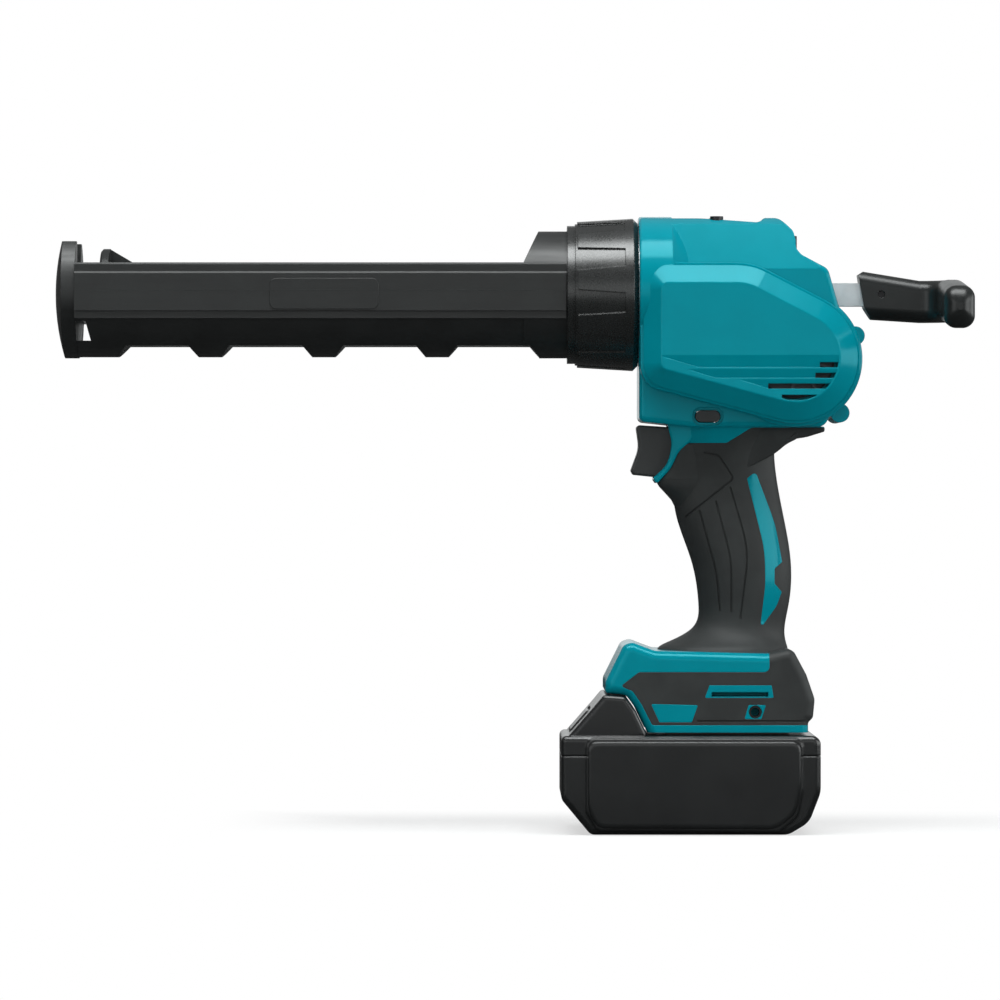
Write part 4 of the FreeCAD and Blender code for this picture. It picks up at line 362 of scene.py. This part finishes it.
def chinCurve(front, half, blunt, first=0.0):      # one side of a level section, from the front to its middle
    turns = [first + (math.pi / 2 - first) * step / chin["steps"] for step in range(chin["steps"] + 1)]
    power = 2 / blunt
    return [(chin["centre"] - (chin["centre"] - front) * max(math.cos(turn), 0.0) ** power,
             half * math.sin(turn) ** power) for turn in turns]


rings = []
for height, front, half, blunt in chin["under"]:
    curve = chinCurve(front, half, blunt)
    rings.append([(x, -y, height) for x, y in reversed(curve)] + [(x, y, height) for x, y in curve[1:]])
skinned("chinUnder", rings, "soft_rubber", "housing")
slotTurn = math.asin((chin["slot"] / chin["half"]) ** (chin["blunt"] / 2))
for side, sideName in sides:
    rings = []
    for height, front in chin["beside"]:
        curve = chinCurve(front, chin["half"], chin["blunt"], slotTurn)
        inner = (chin["centre"], side * chin["slot"], height)
        rings.append([(x, side * y, height) for x, y in curve] + [inner])
    skinned(f"{sideName}ChinCheek", rings, "soft_rubber", "housing")

web = {"half": 13.05, "soft": 0.75,                    # soft web that joins handle and tang
       "corners": [(20.0, 162.4, 8), (38.0, 171.6, 4), (43.5, 176.4, 3), (49.0, 178.9, 2.3),
                   (49.0, 183.5, 2.3), (20.0, 183.5, 8)]}
edge = rounded(web["corners"])
oneSide = roundedRim(web["half"], web["soft"])
acrossWeb = [(inset, -height) for inset, height in reversed(oneSide)] + oneSide[1:]
rings = [[(point.x, height, point.y) for point in drawnIn(edge, inset)] for inset, height in acrossWeb]
skinned("tangWeb", rings, "soft_rubber", "housing")

print("stage")
studio = {"floorSize": 16.0, "floorDrop": 0.2 * mm, "seenColour": (0.9, 0.9, 0.9, 1),
          "bounceColour": (0.32, 0.32, 0.32, 1), "mirrorColour": (0.04, 0.04, 0.04, 1), "mirrored": 0.02,
          "shadowKept": 0.4, "shadowHalf": 0.06, "fadeFrom": 0.07, "fadeOver": 0.1,
          "horizon": 0.1, "zenith": 0.3, "lampColour": (0.97, 1.0, 1.0)}


def straightRays(start, mirrored):            # what the camera sees, and some of what shiny parts see
    rays = start.add("ShaderNodeLightPath").socket.node.outputs
    seen = [Wire(start.tree, rays[ray]) for ray in ("Is Camera Ray", "Is Glossy Ray", "Is Transmission Ray")]
    return start.sum("MINIMUM", seen[0] + (seen[1] + seen[2]) * mirrored, 1.0)


def stageFinish(name):
    material, start = newFinish(name)
    mirror = Wire(start.tree, start.add("ShaderNodeLightPath").socket.node.outputs["Is Glossy Ray"])
    bounced = blend(start, mirror, studio["bounceColour"], studio["mirrorColour"])
    tint = blend(start, straightRays(start, 0.0), bounced, studio["seenColour"])
    lit = start.add("ShaderNodeBsdfDiffuse", {}, {"Color": tint})
    white = start.add("ShaderNodeEmission", {}, {"Color": (1, 1, 1, 1), "Strength": 1.0})
    spot = place(start)
    away = start.sum("MAXIMUM", abs(spot[0]) - studio["shadowHalf"], abs(spot[1]))
    near = away.below(studio["fadeFrom"], studio["fadeOver"])
    share = straightRays(start, studio["mirrored"]) * (1 - near * studio["shadowKept"])
    start.add("ShaderNodeOutputMaterial", {}, {"Surface": mixed(start, share, lit, white)})
    return material


half = studio["floorSize"] / 2
floorMesh = bpy.data.meshes.new("floor")
floorCorners = [(-half, -half, 0), (half, -half, 0), (half, half, 0), (-half, half, 0)]
floorMesh.from_pydata(floorCorners, [], [(0, 1, 2, 3)])
floorMesh.materials.append(stageFinish("paleFloor"))
floor = bpy.data.objects.new("floor", floorMesh)
floor.location.z = cadBox[0][2] - studio["floorDrop"]
bpy.context.scene.collection.objects.link(floor)

world = bpy.data.worlds.new("studio")
bpy.context.scene.world = world
world.use_nodes = True
world.node_tree.nodes.clear()
air = Wire(world.node_tree)
low, high, white = [air.add("ShaderNodeBackground", {}, {"Color": (1, 1, 1, 1), "Strength": strength})
                    for strength in (studio["horizon"], studio["zenith"], 1.0)]
glow = mixed(air, place(air)[2].below(0.0, 1.0), high, low)
air.add("ShaderNodeOutputWorld", {}, {"Surface": mixed(air, straightRays(air, 0.0), glow, white)})

lamps = {
    "overhead": {"at": (-0.1, -0.5, 1.6), "size": (1.7, 0.75), "power": 28.5},
    "front": {"at": (-0.1, -3.0, 0.45), "size": (2.4, 1.3), "power": 7.0},
    "left": {"at": (-1.9, -2.2, 0.5), "size": (1.4, 1.4), "power": 9.0},
    "right": {"at": (1.9, -1.1, 0.5), "size": (1.4, 1.4), "power": 18.0},
    "edge": {"at": (1.6, 0.3, 0.3), "size": (0.9, 0.9), "power": 6.0},
    "behind": {"at": (0.1, 2.7, 0.7), "size": (2.2, 1.2), "power": 6.0},
}
target = Vector((-0.05, 0, 0.17))             # where the lamps point
for name, lamp in lamps.items():
    light = bpy.data.lights.new(name, "AREA")
    light.shape = "RECTANGLE"
    light.size, light.size_y = lamp["size"]
    light.energy = lamp["power"]
    light.color = studio["lampColour"]
    holder = bpy.data.objects.new(name, light)
    holder.location = lamp["at"]
    holder.rotation_euler = (target - Vector(lamp["at"])).to_track_quat("-Z", "Y").to_euler()
    bpy.context.scene.collection.objects.link(holder)

print("camera")
view = {"scale": 0.457 * mm, "frame": 1000, "originPixel": (690, 830),      # scale is the real size of a pixel
        "distance": 2.4, "sensor": 36.0, "farthest": 20.0}
middle = view["frame"] / 2
eye = bpy.data.cameras.new("camera")
eye.sensor_width = view["sensor"]
eye.lens = eye.sensor_width * view["distance"] / (view["scale"] * view["frame"])
eye.clip_end = view["farthest"]
camera = bpy.data.objects.new("camera", eye)
camera.location = ((middle - view["originPixel"][0]) * view["scale"], -view["distance"],
                   (view["originPixel"][1] - middle) * view["scale"])
camera.rotation_euler = (math.pi / 2, 0, 0)
bpy.context.scene.collection.objects.link(camera)
bpy.context.scene.camera = camera
bpy.context.scene.view_settings.view_transform = "Standard"

print("done")
